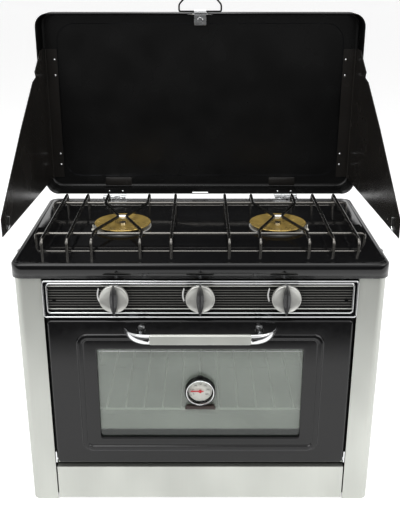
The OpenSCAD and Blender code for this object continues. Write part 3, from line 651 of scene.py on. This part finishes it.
class CAMPOVEN_OT_stage(bpy.types.Operator):
    """Makes the pale floor, the soft studio lamps, the white surroundings and the camera"""

    bl_idname = "camp_oven.stage"
    bl_label = "Stage"

    def execute(self, context):
        scene = context.scene
        scene.view_settings.view_transform = "Standard"
        self.make_floor(scene)
        self.make_world(scene)
        self.make_lamp(scene, "key_softbox", (-0.9, -1.5, 1.9), 1.6, 26)
        self.make_lamp(scene, "fill_softbox", (1.5, -1.0, 1.4), 1.4, 13)
        self.make_lamp(scene, "top_softbox", (0.0, 0.1, 2.3), 1.6, 20)
        self.make_camera(scene)
        return {"FINISHED"}

    def make_floor(self, scene):
        """A wide matt white floor; the camera and reflections see it a little brighter, and reflections
        alone see a painted dark zone in front
        """
        bm = bmesh.new()
        bmesh.ops.create_grid(bm, x_segments=1, y_segments=1, size=30)
        mesh = bpy.data.meshes.new("studio_floor")
        bm.to_mesh(mesh)
        bm.free()
        floor = bpy.data.objects.new("studio_floor", mesh)
        scene.collection.objects.link(floor)
        material, tree, shader, place = surface("matt_paper_floor")
        # Painted dark reflection: from 0.60 to 0.74 m in front of the oven's middle, glossy rays alone see
        # the floor fade to dark grey; the camera still sees it white
        depth = add(tree, "ShaderNodeSeparateXYZ", inputs={"Vector": place}).outputs["Y"]
        dark_reflection_zone = add(tree, "ShaderNodeMapRange", inputs={
            "Value": depth, "From Min": -0.60, "From Max": -0.74}).outputs["Result"]
        glossy = add(tree, "ShaderNodeLightPath").outputs["Is Glossy Ray"]
        dark = add(tree, "ShaderNodeMath", {"operation": "MULTIPLY"}, {0: dark_reflection_zone, 1: glossy}).outputs["Value"]
        paper = tint(tree, grain(tree, place, (3, 3, 3)), linear("#F2F2F2"), 0.99, 1.0)
        colours = add(tree, "ShaderNodeMix", {"data_type": "RGBA"}, {
            0: dark, 6: paper, 7: linear("#303030")})
        lit = add(tree, "ShaderNodeMath", {"operation": "SUBTRACT"}, {0: 1.0, 1: dark}).outputs["Value"]
        glow = add(tree, "ShaderNodeMath", {"operation": "MULTIPLY"}, {
            0: lit, 1: self.seen(tree, 0.5)}).outputs["Value"]
        link(tree, shader, Base_Color=colours.outputs[2], Emission_Strength=glow)
        constant(shader, Roughness=0.9, Emission_Color=linear("#FFFFFF"))
        mesh.materials.append(material)

    def seen(self, tree, strength):
        """A strength for camera, glossy and transmitted rays only"""
        rays = add(tree, "ShaderNodeLightPath").outputs
        pair = add(tree, "ShaderNodeMath", {"operation": "MAXIMUM"}, {
            0: rays["Is Camera Ray"], 1: rays["Is Glossy Ray"]})
        every = add(tree, "ShaderNodeMath", {"operation": "MAXIMUM"}, {
            0: pair.outputs["Value"], 1: rays["Is Transmission Ray"]})
        return add(tree, "ShaderNodeMath", {"operation": "MULTIPLY"}, {
            0: every.outputs["Value"], 1: strength}).outputs["Value"]

    def make_world(self, scene):
        """White to the camera and in reflections, and a weaker even light on the object"""
        world = bpy.data.worlds.new("white_studio")
        world.use_nodes = True
        tree = world.node_tree
        tree.nodes.clear()
        strength = add(tree, "ShaderNodeMath", {"operation": "ADD"}, {0: self.seen(tree, 0.55), 1: 0.45})
        sky = add(tree, "ShaderNodeBackground", inputs={
            "Color": linear("#FFFFFF"), "Strength": strength.outputs["Value"]})
        add(tree, "ShaderNodeOutputWorld", inputs={"Surface": sky.outputs["Background"]})
        scene.world = world

    def make_lamp(self, scene, name, place, size, power):
        """A square soft lamp that faces the middle of the oven"""
        light = bpy.data.lights.new(name, "AREA")
        light.energy = power
        light.size = size
        lamp = bpy.data.objects.new(name, light)
        lamp.location = place
        oven_middle = Vector((0.0, 0.0, 0.35))
        aim = oven_middle - Vector(place)
        lamp.rotation_euler = aim.to_track_quat("-Z", "Y").to_euler()
        scene.collection.objects.link(lamp)

    def make_camera(self, scene):
        """The photograph's view: 20.8 degrees down, a little over a metre in front of the oven"""
        lens = bpy.data.cameras.new("photo_camera")
        lens.sensor_fit = "HORIZONTAL"
        sensor_width = 36
        lens.sensor_width = sensor_width
        focal_pixels = 759.25
        frame_pixels = 400
        lens.lens = focal_pixels * sensor_width / frame_pixels
        camera = bpy.data.objects.new("photo_camera", lens)
        camera.location = (-0.0003, -1.1348, 0.7871)
        camera.rotation_euler = (math.radians(90 - 20.824), 0, 0)
        scene.collection.objects.link(camera)
        scene.camera = camera


class CAMPOVEN_OT_body(bpy.types.Operator):
    """Gives the body, the oven and the gas parts inside their finishes"""

    bl_idname = "camp_oven.body"
    bl_label = "Body and Oven"

    def execute(self, context):
        dress("stainless", "left_side_panel", "right_side_panel", "kick_panel", "base_tray", "rear_panel")
        dress("liner", "oven_liner", "rack_guides", "oven_burner", "flame_deflector",
              "door_inner_panel", "burner_tubes", "door_hinge_blocks")
        dress("brass", "gas_manifold", "gas_inlet", "valve_left", "valve_centre", "valve_right")
        dress("chrome", "stem_left", "stem_centre", "stem_right", "clip_anchors",
              "door_hinge_pins", "handle_screws", "burner_screws")
        dress("satin", "door_surround", "panel_screws")
        dress("gasket", "door_gasket")
        dress("rack", "oven_rack")
        dress("glass", "door_glass")
        dress("ceramic", "igniter_electrodes")
        return {"FINISHED"}


class CAMPOVEN_OT_windshields(bpy.types.Operator):
    """Gives the windshields and their hinges satin paint, and their clips chrome"""

    bl_idname = "camp_oven.windshields"
    bl_label = "Windshields"

    def execute(self, context):
        dress("shield", "left_windshield", "right_windshield", "left_wing_hinge", "right_wing_hinge")
        dress("chrome", "left_clip", "right_clip")
        return {"FINISHED"}


class CAMPOVEN_OT_lid(bpy.types.Operator):
    """Presses the lid, with its recess, slots, patches and rivets, and rounds its hinges"""

    bl_idname = "camp_oven.lid"
    bl_label = "Lid"

    def execute(self, context):
        sizes = context.scene.camp_oven_sizes
        # The sheet's middle lies this far inside the CAD lid's outer face
        inside = 0.5
        corner = sizes.lid_corner * MM - inside
        bend = sizes.lid_fold * MM
        recess_corner = sizes.recess_corner * MM
        half = LID_HIGH.x - inside
        low = LID_LOW.z + inside
        high = LID_HIGH.z - inside
        front = LID_LOW.y + 0.2
        flange = LID_LOW.y + 49.5
        floor = flange + sizes.recess_depth * MM
        edge = half - 26.5
        base = low + 21.5
        top = high - 19.5
        outlines = [(half, low, high, corner, front), (half, low, high, corner, flange - bend)]
        outlines += fold(half, low, high, corner, flange - bend, bend)
        recess = (edge, base, top, recess_corner)
        for spread, depth in (
                (3.2, flange), (2.4, flange), (1.0, flange + 0.6), (0.2, flange + 2.0),
                (-0.4, floor - 2.2), (-1.2, floor - 0.7), (-2.8, floor), (-3.8, floor)):
            outlines.append(spread_outline(recess, spread, depth))
        bm = bmesh.new()
        pressing(bm, outlines)
        # Slots for the latch strap in the skirt, and notches for the hinge leaves
        for level in (LID_LOW.z, LID_HIGH.z):
            cut_window(bm, (-14, LID_LOW.y + 2, level - 2), (14, LID_LOW.y + 14, level + 2))
        for x in (-HINGE_X, HINGE_X):
            cut_window(bm, (x - 21, LID_LOW.y - 1, low - 2), (x + 21, LID_LOW.y + 1.6, low + 3))
        place_piece(bm, "pressed_lid", "satin", "lid", ["lid_shell"], wall=0.9)
        self.rivets()
        self.patches(low + 1.6, base - 4.6, flange)
        self.recess_highlight_strip(recess, flange)
        softened("lid_hinge_leaves", "hinge_leaves", "chrome", "lid", 0.25)
        softened("lid_hinge_bases", "hinge_bases", "chrome", "root", 0.25)
        return {"FINISHED"}

    def recess_highlight_strip(self, recess, flange):
        """Thin strip of dark chrome round the recess, a painted highlight along the recess fold"""
        bm = bmesh.new()
        pressing(bm, [spread_outline(recess, spread, flange + depth) for spread, depth in (
            (1.2, -0.1), (0.9, -0.7), (0.1, -0.7), (-0.2, -0.1))], cap=False, closed=True)
        place_piece(bm, "recess_highlight_strip", "darkened_mirror", "lid", ())

    def patches(self, low, high, flange):
        """Flat reinforcing patch on the flange above each hinge"""
        bm = bmesh.new()
        for x in (-150, 150):
            before = set(bm.verts)
            pressing(bm, [
                (24, low, high, 1.5, flange), (24, low, high, 1.5, flange - 1.2),
                (23.4, low + 0.6, high - 0.6, 1.2, flange - 1.7),
            ])
            fresh = [v for v in bm.verts if v not in before]
            bmesh.ops.translate(bm, vec=(x, 0, 0), verts=fresh)
        place_piece(bm, "flange_patches", "shield", "lid", ())

    def rivets(self):
        """Domed rivet heads of the hinges on the skirt and of the windshield hinges on the flange"""
        bm = bmesh.new()
        dome = [(0.01, 1.4), (0.9, 1.3), (1.6, 1.0), (2.0, 0.6), (2.2, 0.1), (2.2, 0.0)]
        for x in (-HINGE_X, HINGE_X):
            for shift in (-12, 12):
                turned(bm, (x + shift, LID_LOW.y + 17, LID_LOW.z + 1), UPWARD, dome, 20)
        for side in (-1, 1):
            for rise in (42, 62, 202, 229):
                turned(bm, (side * 254, LID_HIGH.y - 12.0, LID_LOW.z + rise), FRONTWARD, dome, 20)
        place_piece(bm, "domed_rivets", "chrome", "lid", ["lid_rivets"])


class CAMPOVEN_OT_latch(bpy.types.Operator):
    """Bends the dark latch bail, and rounds the chrome strap that holds it"""

    bl_idname = "camp_oven.latch"
    bl_label = "Latch"

    def execute(self, context):
        wire = context.scene.camp_oven_sizes.bail_wire * MM
        low, high = limits("latch_bail")
        half = high.x - wire / 2 - 0.2
        y = (low.y + high.y) / 2
        bottom = LID_HIGH.z + wire / 2 + 1
        top = high.z - wire / 2 - 0.2
        bm = bmesh.new()
        bent_wire(bm, [
            (0, y, bottom), (half, y, bottom), (half, y, top - 9), (half - 8, y, top),
            (-half + 8, y, top), (-half, y, top - 9), (-half, y, bottom), (0, y, bottom),
        ], wire, 3)
        place_piece(bm, "bail_wire", "satin", "bail", ["latch_bail"])
        softened("latch_strap", "folded_strap", "chrome", "lid", 0.5)
        return {"FINISHED"}


class CAMPOVEN_OT_cooktop(bpy.types.Operator):
    """Presses the enamelled pan and its drip rings, and turns the two burners"""

    bl_idname = "camp_oven.cooktop"
    bl_label = "Cooktop"

    def execute(self, context):
        rim = context.scene.camp_oven_sizes.pan_rim * MM
        self.pan(rim)
        self.drip_rings()
        self.burners()
        return {"FINISHED"}

    def pan(self, rim):
        """Pan with a rolled rim; it is pressed standing up and then laid flat"""
        # The sheet's middle lies this far inside the CAD pan's outer face
        inside = 0.6
        half = PAN_HIGH.x - inside
        deep = (PAN_HIGH.y - PAN_LOW.y) / 2 - inside
        inner = rim - inside
        corner = 15.4
        skirt = 18.4
        outlines = [(half, -deep, deep, corner, 0.4), (half, -deep, deep, corner, skirt)]
        outlines += fold(half, -deep, deep, corner, skirt, 3.0)
        for inset, depth in (
                (inner - 2.4, 21.4), (inner - 1.6, 21.4), (inner - 0.6, 21.0), (inner, 20.0),
                (inner + 0.6, 13.4), (inner + 1.6, 11.2), (inner + 4.0, 10.4), (inner + 5.0, 10.4)):
            outlines.append((half - inset, -deep + inset, deep - inset, max(corner - inset, 6), depth))
        bm = bmesh.new()
        pressing(bm, outlines)
        middle = (PAN_LOW.y + PAN_HIGH.y) / 2
        lay = Matrix(((1, 0, 0, 0), (0, 0, 1, middle), (0, 1, 0, PAN_LOW.z), (0, 0, 0, 1)))
        bmesh.ops.transform(bm, matrix=lay, verts=bm.verts)
        place_piece(bm, "enamelled_pan", "enamel", "root", ["cooktop_pan"], wall=1.1)

    def drip_rings(self):
        """Raised ring round each burner that keeps spills under it"""
        ring = [(60.0, 0.0), (61.4, 0.5), (62.4, 2.0), (63.4, 2.8), (64.2, 2.2), (65.0, 0.4), (66.0, 0.0)]
        bm = bmesh.new()
        for x in (-BURNER_X, BURNER_X):
            turned(bm, (x, 0, PAN_FLOOR), UPWARD, ring, 96)
        place_piece(bm, "drip_rings", "enamel", "root", ["cooktop_pan"])

    def burners(self):
        """Cast burner heads, and the gold caps dished down to their screws"""
        head = [
            (3.0, -26.0), (21.5, -26.0), (21.5, 2.0), (24.0, 2.6), (35.0, 3.4), (40.5, 5.6),
            (43.4, 9.4), (45.0, 12.6), (44.6, 13.0), (43.0, 12.8), (39.0, 11.0), (24.0, 9.4),
            (10.0, 9.0), (10.0, 13.8), (3.0, 13.8), (3.0, -26.0),
        ]
        cap = [
            (5.0, 14.2), (12.0, 14.2), (30.0, 14.8), (42.0, 17.0), (43.8, 18.4), (44.0, 19.0),
            (43.4, 19.4), (42.0, 19.2), (36.0, 17.6), (30.0, 16.6), (22.0, 15.9), (14.0, 15.8),
            (11.0, 16.4), (5.0, 16.4), (5.0, 14.2),
        ]
        heads = bmesh.new()
        caps = bmesh.new()
        for x in (-BURNER_X, BURNER_X):
            turned(heads, (x, 0, PAN_FLOOR), UPWARD, head, 96)
            turned(caps, (x, 0, PAN_FLOOR), UPWARD, cap, 96)
        place_piece(heads, "burner_heads", "aluminium", "root", ["burner_bodies"])
        place_piece(caps, "burner_gold_caps", "brass", "root", ["burner_caps"])


class CAMPOVEN_OT_grate(bpy.types.Operator):
    """Bends and welds the wires of the pan support, and adds its two sleeves"""

    bl_idname = "camp_oven.grate"
    bl_label = "Pan Support"

    def execute(self, context):
        wire = context.scene.camp_oven_sizes.grate_wire * MM
        low, high = limits("pan_grate")
        level = high.z - wire / 2
        drop = high.z - 24.5
        front = low.y + wire / 2
        back = high.y - wire / 2
        bm = bmesh.new()
        for side in (-1, 1):
            for x, bend in ((228, 0), (192, 0), (157, -30), (87, 30), (42, 0)):
                middle = side * (x + bend)
                x = side * x
                bent_wire(bm, [
                    (x, front, drop), (x, front, level), (x, -70, level), (middle, 0, level),
                    (x, 70, level), (x, back, level), (x, back, drop),
                ], wire, 7)
        for y in (front + wire, back - wire):
            bent_wire(bm, [(x, y, drop + wire / 2) for x in (-232, 0, 232)], wire, 1)
        leg = high.x - wire / 2
        for y in (front + 44, back - 34):
            bent_wire(bm, [
                (-leg, y, low.z + 0.2), (-leg, y, level - wire),
                (leg, y, level - wire), (leg, y, low.z + 0.2),
            ], wire, 5)
        place_piece(bm, "welded_pan_support", "nickel", "grate", ["pan_grate"], smooth=60)
        self.sleeves(level)
        return {"FINISHED"}

    def sleeves(self, level):
        """Short bright sleeve that joins the two bent wires over each burner"""
        bm = bmesh.new()
        for x in (-BURNER_X, BURNER_X):
            turned(bm, (x - 8, 0, level - 0.6), (1, 0, 0), [
                (0.0, 0.0), (2.5, 0.0), (3.0, 0.5), (3.0, 15.5), (2.5, 16.0), (0.0, 16.0),
            ], 24)
        place_piece(bm, "wire_sleeves", "chrome", "grate", ["pan_grate"])


class CAMPOVEN_OT_controls(bpy.types.Operator):
    """Makes the bezel, the pinstriped panel, its white flame marks and the three knobs"""

    bl_idname = "camp_oven.controls"
    bl_label = "Control Panel"

    def execute(self, context):
        dress("panel", "control_panel")
        self.bezel()
        self.marks()
        for side, name in ((-1, "left"), (0, "centre"), (1, "right")):
            self.knob(side * KNOB_PITCH, name)
        return {"FINISHED"}

    def bezel(self):
        """Flat frame of darkened chrome, a painted dark reflection, with a bright rolled edge outside and
        inside
        """
        half = BEZEL_HIGH.x
        low = BEZEL_LOW.z
        high = BEZEL_HIGH.z
        front = BEZEL_LOW.y
        frame_face = bmesh.new()
        pressing(frame_face, [
            (half - 0.3, low + 1.6, high - 0.3, 2, front + 6.8),
            (half - 0.3, low + 1.6, high - 0.3, 2, front + 1.6),
            (half - 0.8, low + 0.8, high - 0.8, 2, front + 0.9),
            (half - 6.4, low + 7.4, high - 4.4, 3, front + 0.9),
            (half - 7, low + 8, high - 5, 3, front + 1.6),
            (half - 7, low + 8, high - 5, 3, front + 6.8),
        ], cap=False, closed=True)
        place_piece(frame_face, "bezel_face", "darkened_mirror", "root", ["panel_bezel"])
        edges = bmesh.new()
        for inset, rise, drop, radius in ((1.0, 1.0, 1.0, 3), (6.6, 7.4, 4.4, 4)):
            edge = (half - inset, low + rise, high - drop, radius)
            pressing(edges, [spread_outline(edge, spread, front + depth) for spread, depth in (
                (1.0, 1.2), (0.9, 0.4), (0.3, 0.0), (-0.3, 0.0), (-0.9, 0.4), (-1.0, 1.2),
            )], cap=False, closed=True)
        place_piece(edges, "bezel_bright_edges", "chrome", "root", ["panel_bezel"])

    def marks(self):
        """White tapered arc at the left of each knob, for a flame that grows"""
        face = -154.25
        bm = bmesh.new()
        for x in (-KNOB_PITCH, 0, KNOB_PITCH):
            rims = []
            for radius, reach in ((25.6, 26), (23.4, 20)):
                turn = math.radians(reach)
                start = bm.verts.new((
                    x - radius * math.cos(turn), face, KNOB_LEVEL - radius * math.sin(turn)))
                before = set(bm.edges)
                bmesh.ops.spin(bm, geom=[start], cent=(x, face, KNOB_LEVEL), axis=(0, 1, 0),
                               angle=2 * turn, steps=16)
                rims.append([e for e in bm.edges if e not in before])
            bmesh.ops.bridge_loops(bm, edges=rims[0] + rims[1])
        place_piece(bm, "flame_marks", "white_ink", "root", (), wall=0.12)

    def knob(self, x, name):
        """Knob of two pieces: a turned silver disc, and a lens-shaped grip across it"""
        back = limits("knob_" + name)[1].y
        disc = bmesh.new()
        turned(disc, (x, back, KNOB_LEVEL), FRONTWARD, [
            (3.2, 0.0), (19.4, 0.0), (20.2, 0.6), (20.5, 1.6), (20.5, 5.0), (20.3, 6.0), (19.7, 6.4),
            (18.9, 6.2), (18.3, 5.6), (14.0, 4.9), (8.0, 4.3), (0.01, 4.0),
        ], 72)
        place_piece(disc, "knob_disc_" + name, "knob", "knob_" + name, ["knob_" + name])
        grip = bmesh.new()
        half_length = 23.8
        start = grip.verts.new((0, 0, half_length))
        bow = 56.0
        angle = 2 * math.asin(half_length / bow)
        bmesh.ops.spin(grip, geom=[start], cent=(-bow * math.cos(angle / 2), 0, 0), axis=(0, 1, 0),
                       angle=angle, steps=20)
        bmesh.ops.mirror(grip, geom=grip.verts[:] + grip.edges[:], axis="X", merge_dist=0.0001)
        bmesh.ops.remove_doubles(grip, verts=grip.verts, dist=0.01)
        lens = bmesh.ops.contextual_create(grip, geom=grip.edges[:])["faces"]
        raised = bmesh.ops.extrude_face_region(grip, geom=lens)["geom"]
        crown = [g for g in raised if isinstance(g, bmesh.types.BMVert)]
        bmesh.ops.translate(grip, vec=(0, -7.0, 0), verts=crown)
        top = [g for g in raised if isinstance(g, bmesh.types.BMFace)]
        ridge = bmesh.ops.extrude_face_region(grip, geom=top)["geom"]
        crest = [g for g in ridge if isinstance(g, bmesh.types.BMVert)]
        bmesh.ops.scale(grip, vec=(0.22, 1, 0.93), verts=crest)
        bmesh.ops.translate(grip, vec=(0, -4.0, 0), verts=crest)
        bmesh.ops.delete(grip, geom=top, context="FACES_ONLY")
        bmesh.ops.translate(grip, vec=(x, back - 3.9, KNOB_LEVEL), verts=grip.verts)
        place_piece(grip, "knob_grip_" + name, "grip", "knob_" + name, ["knob_" + name])


class CAMPOVEN_OT_door(bpy.types.Operator):
    """Presses the door skin with its bead, rounds the handle, adds its horns, and lays strips of painted
    shade and painted reflection
    """

    bl_idname = "camp_oven.door"
    bl_label = "Oven Door"

    def execute(self, context):
        side = context.scene.camp_oven_sizes.bead_width * MM / 2
        # The sheet's middle lies this far inside the CAD door's outer edge
        inside = 0.5
        half = DOOR_HIGH.x - inside
        low = DOOR_LOW.z + inside
        high = DOOR_HIGH.z - inside
        corner = 5.5
        back = -152.8
        skirt = -158.3
        face = -160.5
        bead = (173, 99, 287, 11)
        window = (150, 117, 267, 4)
        outlines = [(half, low, high, corner, back), (half, low, high, corner, skirt)]
        outlines += fold(half, low, high, corner, skirt, 2.2, sign=-1)
        for spread, depth in (
                (side + 2.0, 0.0), (side + 1.2, 0.0), (side, -0.8), (side - 1.0, -2.1), (1.2, -2.5),
                (-1.2, -2.5), (1.0 - side, -2.1), (-side, -0.8), (-side - 1.2, 0.0), (-side - 2.0, 0.0)):
            outlines.append(spread_outline(bead, spread, face + depth))
        for spread, depth in ((2.4, 0.0), (1.6, 0.0), (0.4, 0.5), (0.0, 1.6), (0.0, 3.4)):
            outlines.append(spread_outline(window, spread, face + depth))
        bm = bmesh.new()
        pressing(bm, outlines, cap=False)
        place_piece(bm, "enamelled_door", "enamel", "door", ["door_outer_panel"], wall=0.9)
        softened("handle_bar", "handle_grip", "stainless", "door", 1.4)
        self.crescents()
        self.shade_and_seam_strips()
        return {"FINISHED"}

    def crescents(self):
        """Chrome horn and round boss at each end of the handle, and a thin dark sheet beside the bar,
        painted shade for the notch there
        """
        bm = bmesh.new()
        notch = bmesh.new()
        for side in (-1, 1):
            self.horn(bm, side)
            turned(bm, (side * 84, -161.2, 300), FRONTWARD, [
                (0.01, 0.0), (6.6, 0.0), (6.8, 1.0), (5.2, 3.0), (4.6, 8.0), (4.6, 30.0), (4.0, 33.0),
                (0.01, 33.4),
            ], 32)
            # Painted shade: a flat dark triangle stands for the shade inside the notch beside the bar
            corners = [notch.verts.new(place) for place in (
                (side * 71.5, -200.9, 305.0), (side * 71.5, -200.9, 299.5), (side * 79.5, -200.8, 301.5))]
            notch.faces.new(corners)
        place_piece(bm, "handle_crescents", "chrome", "door", ["handle_brackets"], smooth=50)
        place_piece(notch, "notch_shade_sheets", "satin", "door", ["handle_brackets"], wall=0.1)

    def horn(self, bm, side):
        """Oval section drawn along a bow from the bar's end up and back to the door, thinner to its tip"""
        ring = bmesh.ops.create_circle(bm, cap_ends=True, segments=24, radius=1)["verts"]
        edges = list({e for v in ring for e in v.link_edges})
        stand = Matrix.Rotation(math.radians(90), 4, "Y")
        last = Matrix.Identity(4)
        steps = 16
        for i in range(steps + 1):
            t = i / steps
            x = 70 * (1 - t) ** 2 + 2 * 99 * t * (1 - t) + 108 * t ** 2
            y = -198 * (1 - t) ** 2 - 2 * 199 * t * (1 - t) - 171 * t ** 2
            run = 54 * (1 - t) + 14 * t
            rise = -2 * (1 - t) + 56 * t
            lean = math.atan2(rise, side * run)
            size = 1 - 0.72 * t ** 2
            pose = (Matrix.Translation((side * x, y, 302 + 4 * t ** 2)) @ Matrix.Rotation(lean, 4, "Z")
                    @ stand @ Matrix.Diagonal((7.4 * size, 2.9 * size, 1, 1)))
            if i:
                made = bmesh.ops.extrude_edge_only(bm, edges=edges)["geom"]
                ring = [g for g in made if isinstance(g, bmesh.types.BMVert)]
                edges = [g for g in made if isinstance(g, bmesh.types.BMEdge)]
                edges = [e for e in edges if all(v in ring for v in e.verts)]
            bmesh.ops.transform(bm, matrix=pose @ last.inverted(), verts=ring)
            last = pose
        bmesh.ops.contextual_create(bm, geom=edges)

    def shade_and_seam_strips(self):
        """Dark strip under the window, painted shade of the bead's groove, and a thin chrome strip at the
        top of the glass, a painted reflection of an inner seam
        """
        bm = bmesh.new()
        line = -163.0
        bent_wire(bm, [(-169, line, 102), (-163, line, 97), (163, line, 97), (169, line, 102)], 4.6, 5)
        bmesh.ops.scale(bm, vec=(1, 0.35, 1), space=Matrix.Translation((0, -line, 0)), verts=bm.verts)
        # Painted shade: a flattened dark strip in the dial's ink stands for the shade in the groove under
        # the window
        place_piece(bm, "window_shade_strip", "ink", "door", ())
        strip = bmesh.new()
        # Painted reflection: a thin chrome strip stands for the bright reflection of an inner seam at the
        # top of the glass
        bent_wire(strip, [(-147, -157.2, 262.4), (147, -157.2, 262.4), (147.5, -157.2, 262.4)], 1.0, 0.1)
        place_piece(strip, "glass_seam_reflection", "chrome", "door", ())


class CAMPOVEN_OT_thermometer(bpy.types.Operator):
    """Turns the thermometer's rings, prints its dial and moulds its foot"""

    bl_idname = "camp_oven.thermometer"
    bl_label = "Thermometer"

    def execute(self, context):
        front = limits("thermometer_case")[0].y
        back = -156.6
        self.rings(front, back)
        self.dial(back - 3.3)
        dress("lens", "thermometer_lens")
        dress("dial", "thermometer_dial")
        dress("needle", "thermometer_needle")
        self.foot(back)
        return {"FINISHED"}

    def rings(self, front, back):
        """Black case, bright ring, and black inner ring"""
        deep = back - front
        for name, finish, slot, profile in (
                ("gauge_case", "satin", "satin_black", [
                    (0.01, 0.0), (21.6, 0.0), (22.5, 1.0), (22.5, deep - 2.2), (22.1, deep - 1.0),
                    (21.4, deep - 0.5), (20.9, deep - 0.6)]),
                ("gauge_bright_ring", "chrome", "chrome", [
                    (21.0, deep - 1.2), (20.9, deep - 0.5), (20.4, deep), (19.7, deep - 0.1),
                    (19.2, deep - 0.9), (19.1, deep - 2.4)]),
                ("gauge_inner_ring", "satin", "satin_black", [
                    (19.1, deep - 2.2), (18.4, deep - 3.2), (17.6, deep - 6.6), (17.4, 3.1)])):
            ring = bmesh.new()
            turned(ring, (0, back, GAUGE_LEVEL), FRONTWARD, profile, 96)
            place_piece(ring, name, finish, "door", ["thermometer_case"])
        tab = bmesh.new()
        pressing(tab, [
            (3.4, 219.0, 223.6, 1.6, back - 3), (4.2, 218.4, 224.4, 2, back - 4),
            (4.2, 218.4, 224.4, 2, back - 5.4), (3.4, 219.2, 223.6, 1.6, back - 6),
        ])
        place_piece(tab, "gauge_tab", "satin", "door", ["thermometer_case"])

    def foot(self, back):
        """Moulded foot, wider at the bottom, with rounded edges"""
        bm = bmesh.new()
        corners = bmesh.ops.create_cube(bm, size=1)["verts"]
        bmesh.ops.scale(bm, vec=(40, 6.6, 6.4), verts=corners)
        low = [v for v in corners if v.co.z < 0]
        bmesh.ops.scale(bm, vec=(1.15, 1, 1), verts=low)
        bmesh.ops.translate(bm, vec=(0, back - 3.5, 170.8), verts=corners)
        bmesh.ops.bevel(bm, geom=bm.edges[:], offset=0.9, offset_type="OFFSET", affect="EDGES",
                        segments=3, profile=0.5, material=-1)
        place_piece(bm, "gauge_foot", "foot", "door", ["thermometer_foot"])

    def dial(self, y):
        """Marks every ten degrees and a number every fifty, printed on the dial"""
        # The scale starts low on the left and runs clockwise, in degrees of turn
        start = 210
        sweep = 240
        marks = 30
        numbers = 6
        bm = bmesh.new()
        for i in range(marks + 1):
            angle = math.radians(start - sweep * i / marks)
            length, width, reach = (2.6, 0.4, 15.2) if i % 5 == 0 else (1.5, 0.25, 15.7)
            made = bmesh.ops.create_grid(bm, x_segments=1, y_segments=1, size=0.5)["verts"]
            bmesh.ops.scale(bm, vec=(length, width, 1), verts=made)
            bmesh.ops.translate(bm, vec=(reach, 0, 0), verts=made)
            bmesh.ops.rotate(bm, cent=(0, 0, 0), matrix=Matrix.Rotation(angle, 3, "Z"), verts=made)
        for i in range(numbers + 1):
            angle = math.radians(start - sweep * i / numbers)
            text = bpy.data.curves.new("dial_number", "FONT")
            text.body = str(50 * i)
            text.size = 3.4
            text.align_x = "CENTER"
            text.align_y = "CENTER"
            before = set(bm.verts)
            join_from(bm, bpy.data.objects.new("dial_number", text))
            fresh = [v for v in bm.verts if v not in before]
            bmesh.ops.translate(bm, vec=(11.2 * math.cos(angle), 11.2 * math.sin(angle), 0), verts=fresh)
        stand = Matrix.Translation((0, y, GAUGE_LEVEL)) @ Matrix.Rotation(math.radians(90), 4, "X")
        bmesh.ops.transform(bm, matrix=stand, verts=bm.verts)
        place_piece(bm, "dial_print", "ink", "door", (), wall=0.08)


class CAMPOVEN_PT_pieces(bpy.types.Panel):
    """Sizes, colours and pieces of the camp oven"""

    bl_idname = "CAMPOVEN_PT_pieces"
    bl_label = "Camp Oven"
    bl_space_type = "VIEW_3D"
    bl_region_type = "UI"
    bl_category = "Camp Oven"

    def draw(self, context):
        for group in (context.scene.camp_oven_sizes, context.scene.camp_oven_colours):
            for name in group.__annotations__:
                self.layout.prop(group, name)
        for operator in OPERATORS:
            self.layout.operator(operator.bl_idname)


OPERATORS = (
    CAMPOVEN_OT_stage, CAMPOVEN_OT_body, CAMPOVEN_OT_windshields, CAMPOVEN_OT_lid, CAMPOVEN_OT_latch,
    CAMPOVEN_OT_cooktop, CAMPOVEN_OT_grate, CAMPOVEN_OT_controls, CAMPOVEN_OT_door, CAMPOVEN_OT_thermometer,
)
CLASSES = (CampOvenSizes, CampOvenColours, *OPERATORS, CAMPOVEN_PT_pieces)


def register():
    for cls in CLASSES:
        bpy.utils.register_class(cls)
    bpy.types.Scene.camp_oven_sizes = bpy.props.PointerProperty(type=CampOvenSizes)
    bpy.types.Scene.camp_oven_colours = bpy.props.PointerProperty(type=CampOvenColours)


def unregister():
    del bpy.types.Scene.camp_oven_colours
    del bpy.types.Scene.camp_oven_sizes
    for cls in reversed(CLASSES):
        bpy.utils.unregister_class(cls)


def main():
    register()
    bpy.ops.camp_oven.stage()
    bpy.ops.camp_oven.body()
    bpy.ops.camp_oven.windshields()
    bpy.ops.camp_oven.lid()
    bpy.ops.camp_oven.latch()
    bpy.ops.camp_oven.cooktop()
    bpy.ops.camp_oven.grate()
    bpy.ops.camp_oven.controls()
    bpy.ops.camp_oven.door()
    bpy.ops.camp_oven.thermometer()


if __name__ == "__main__":
    main()
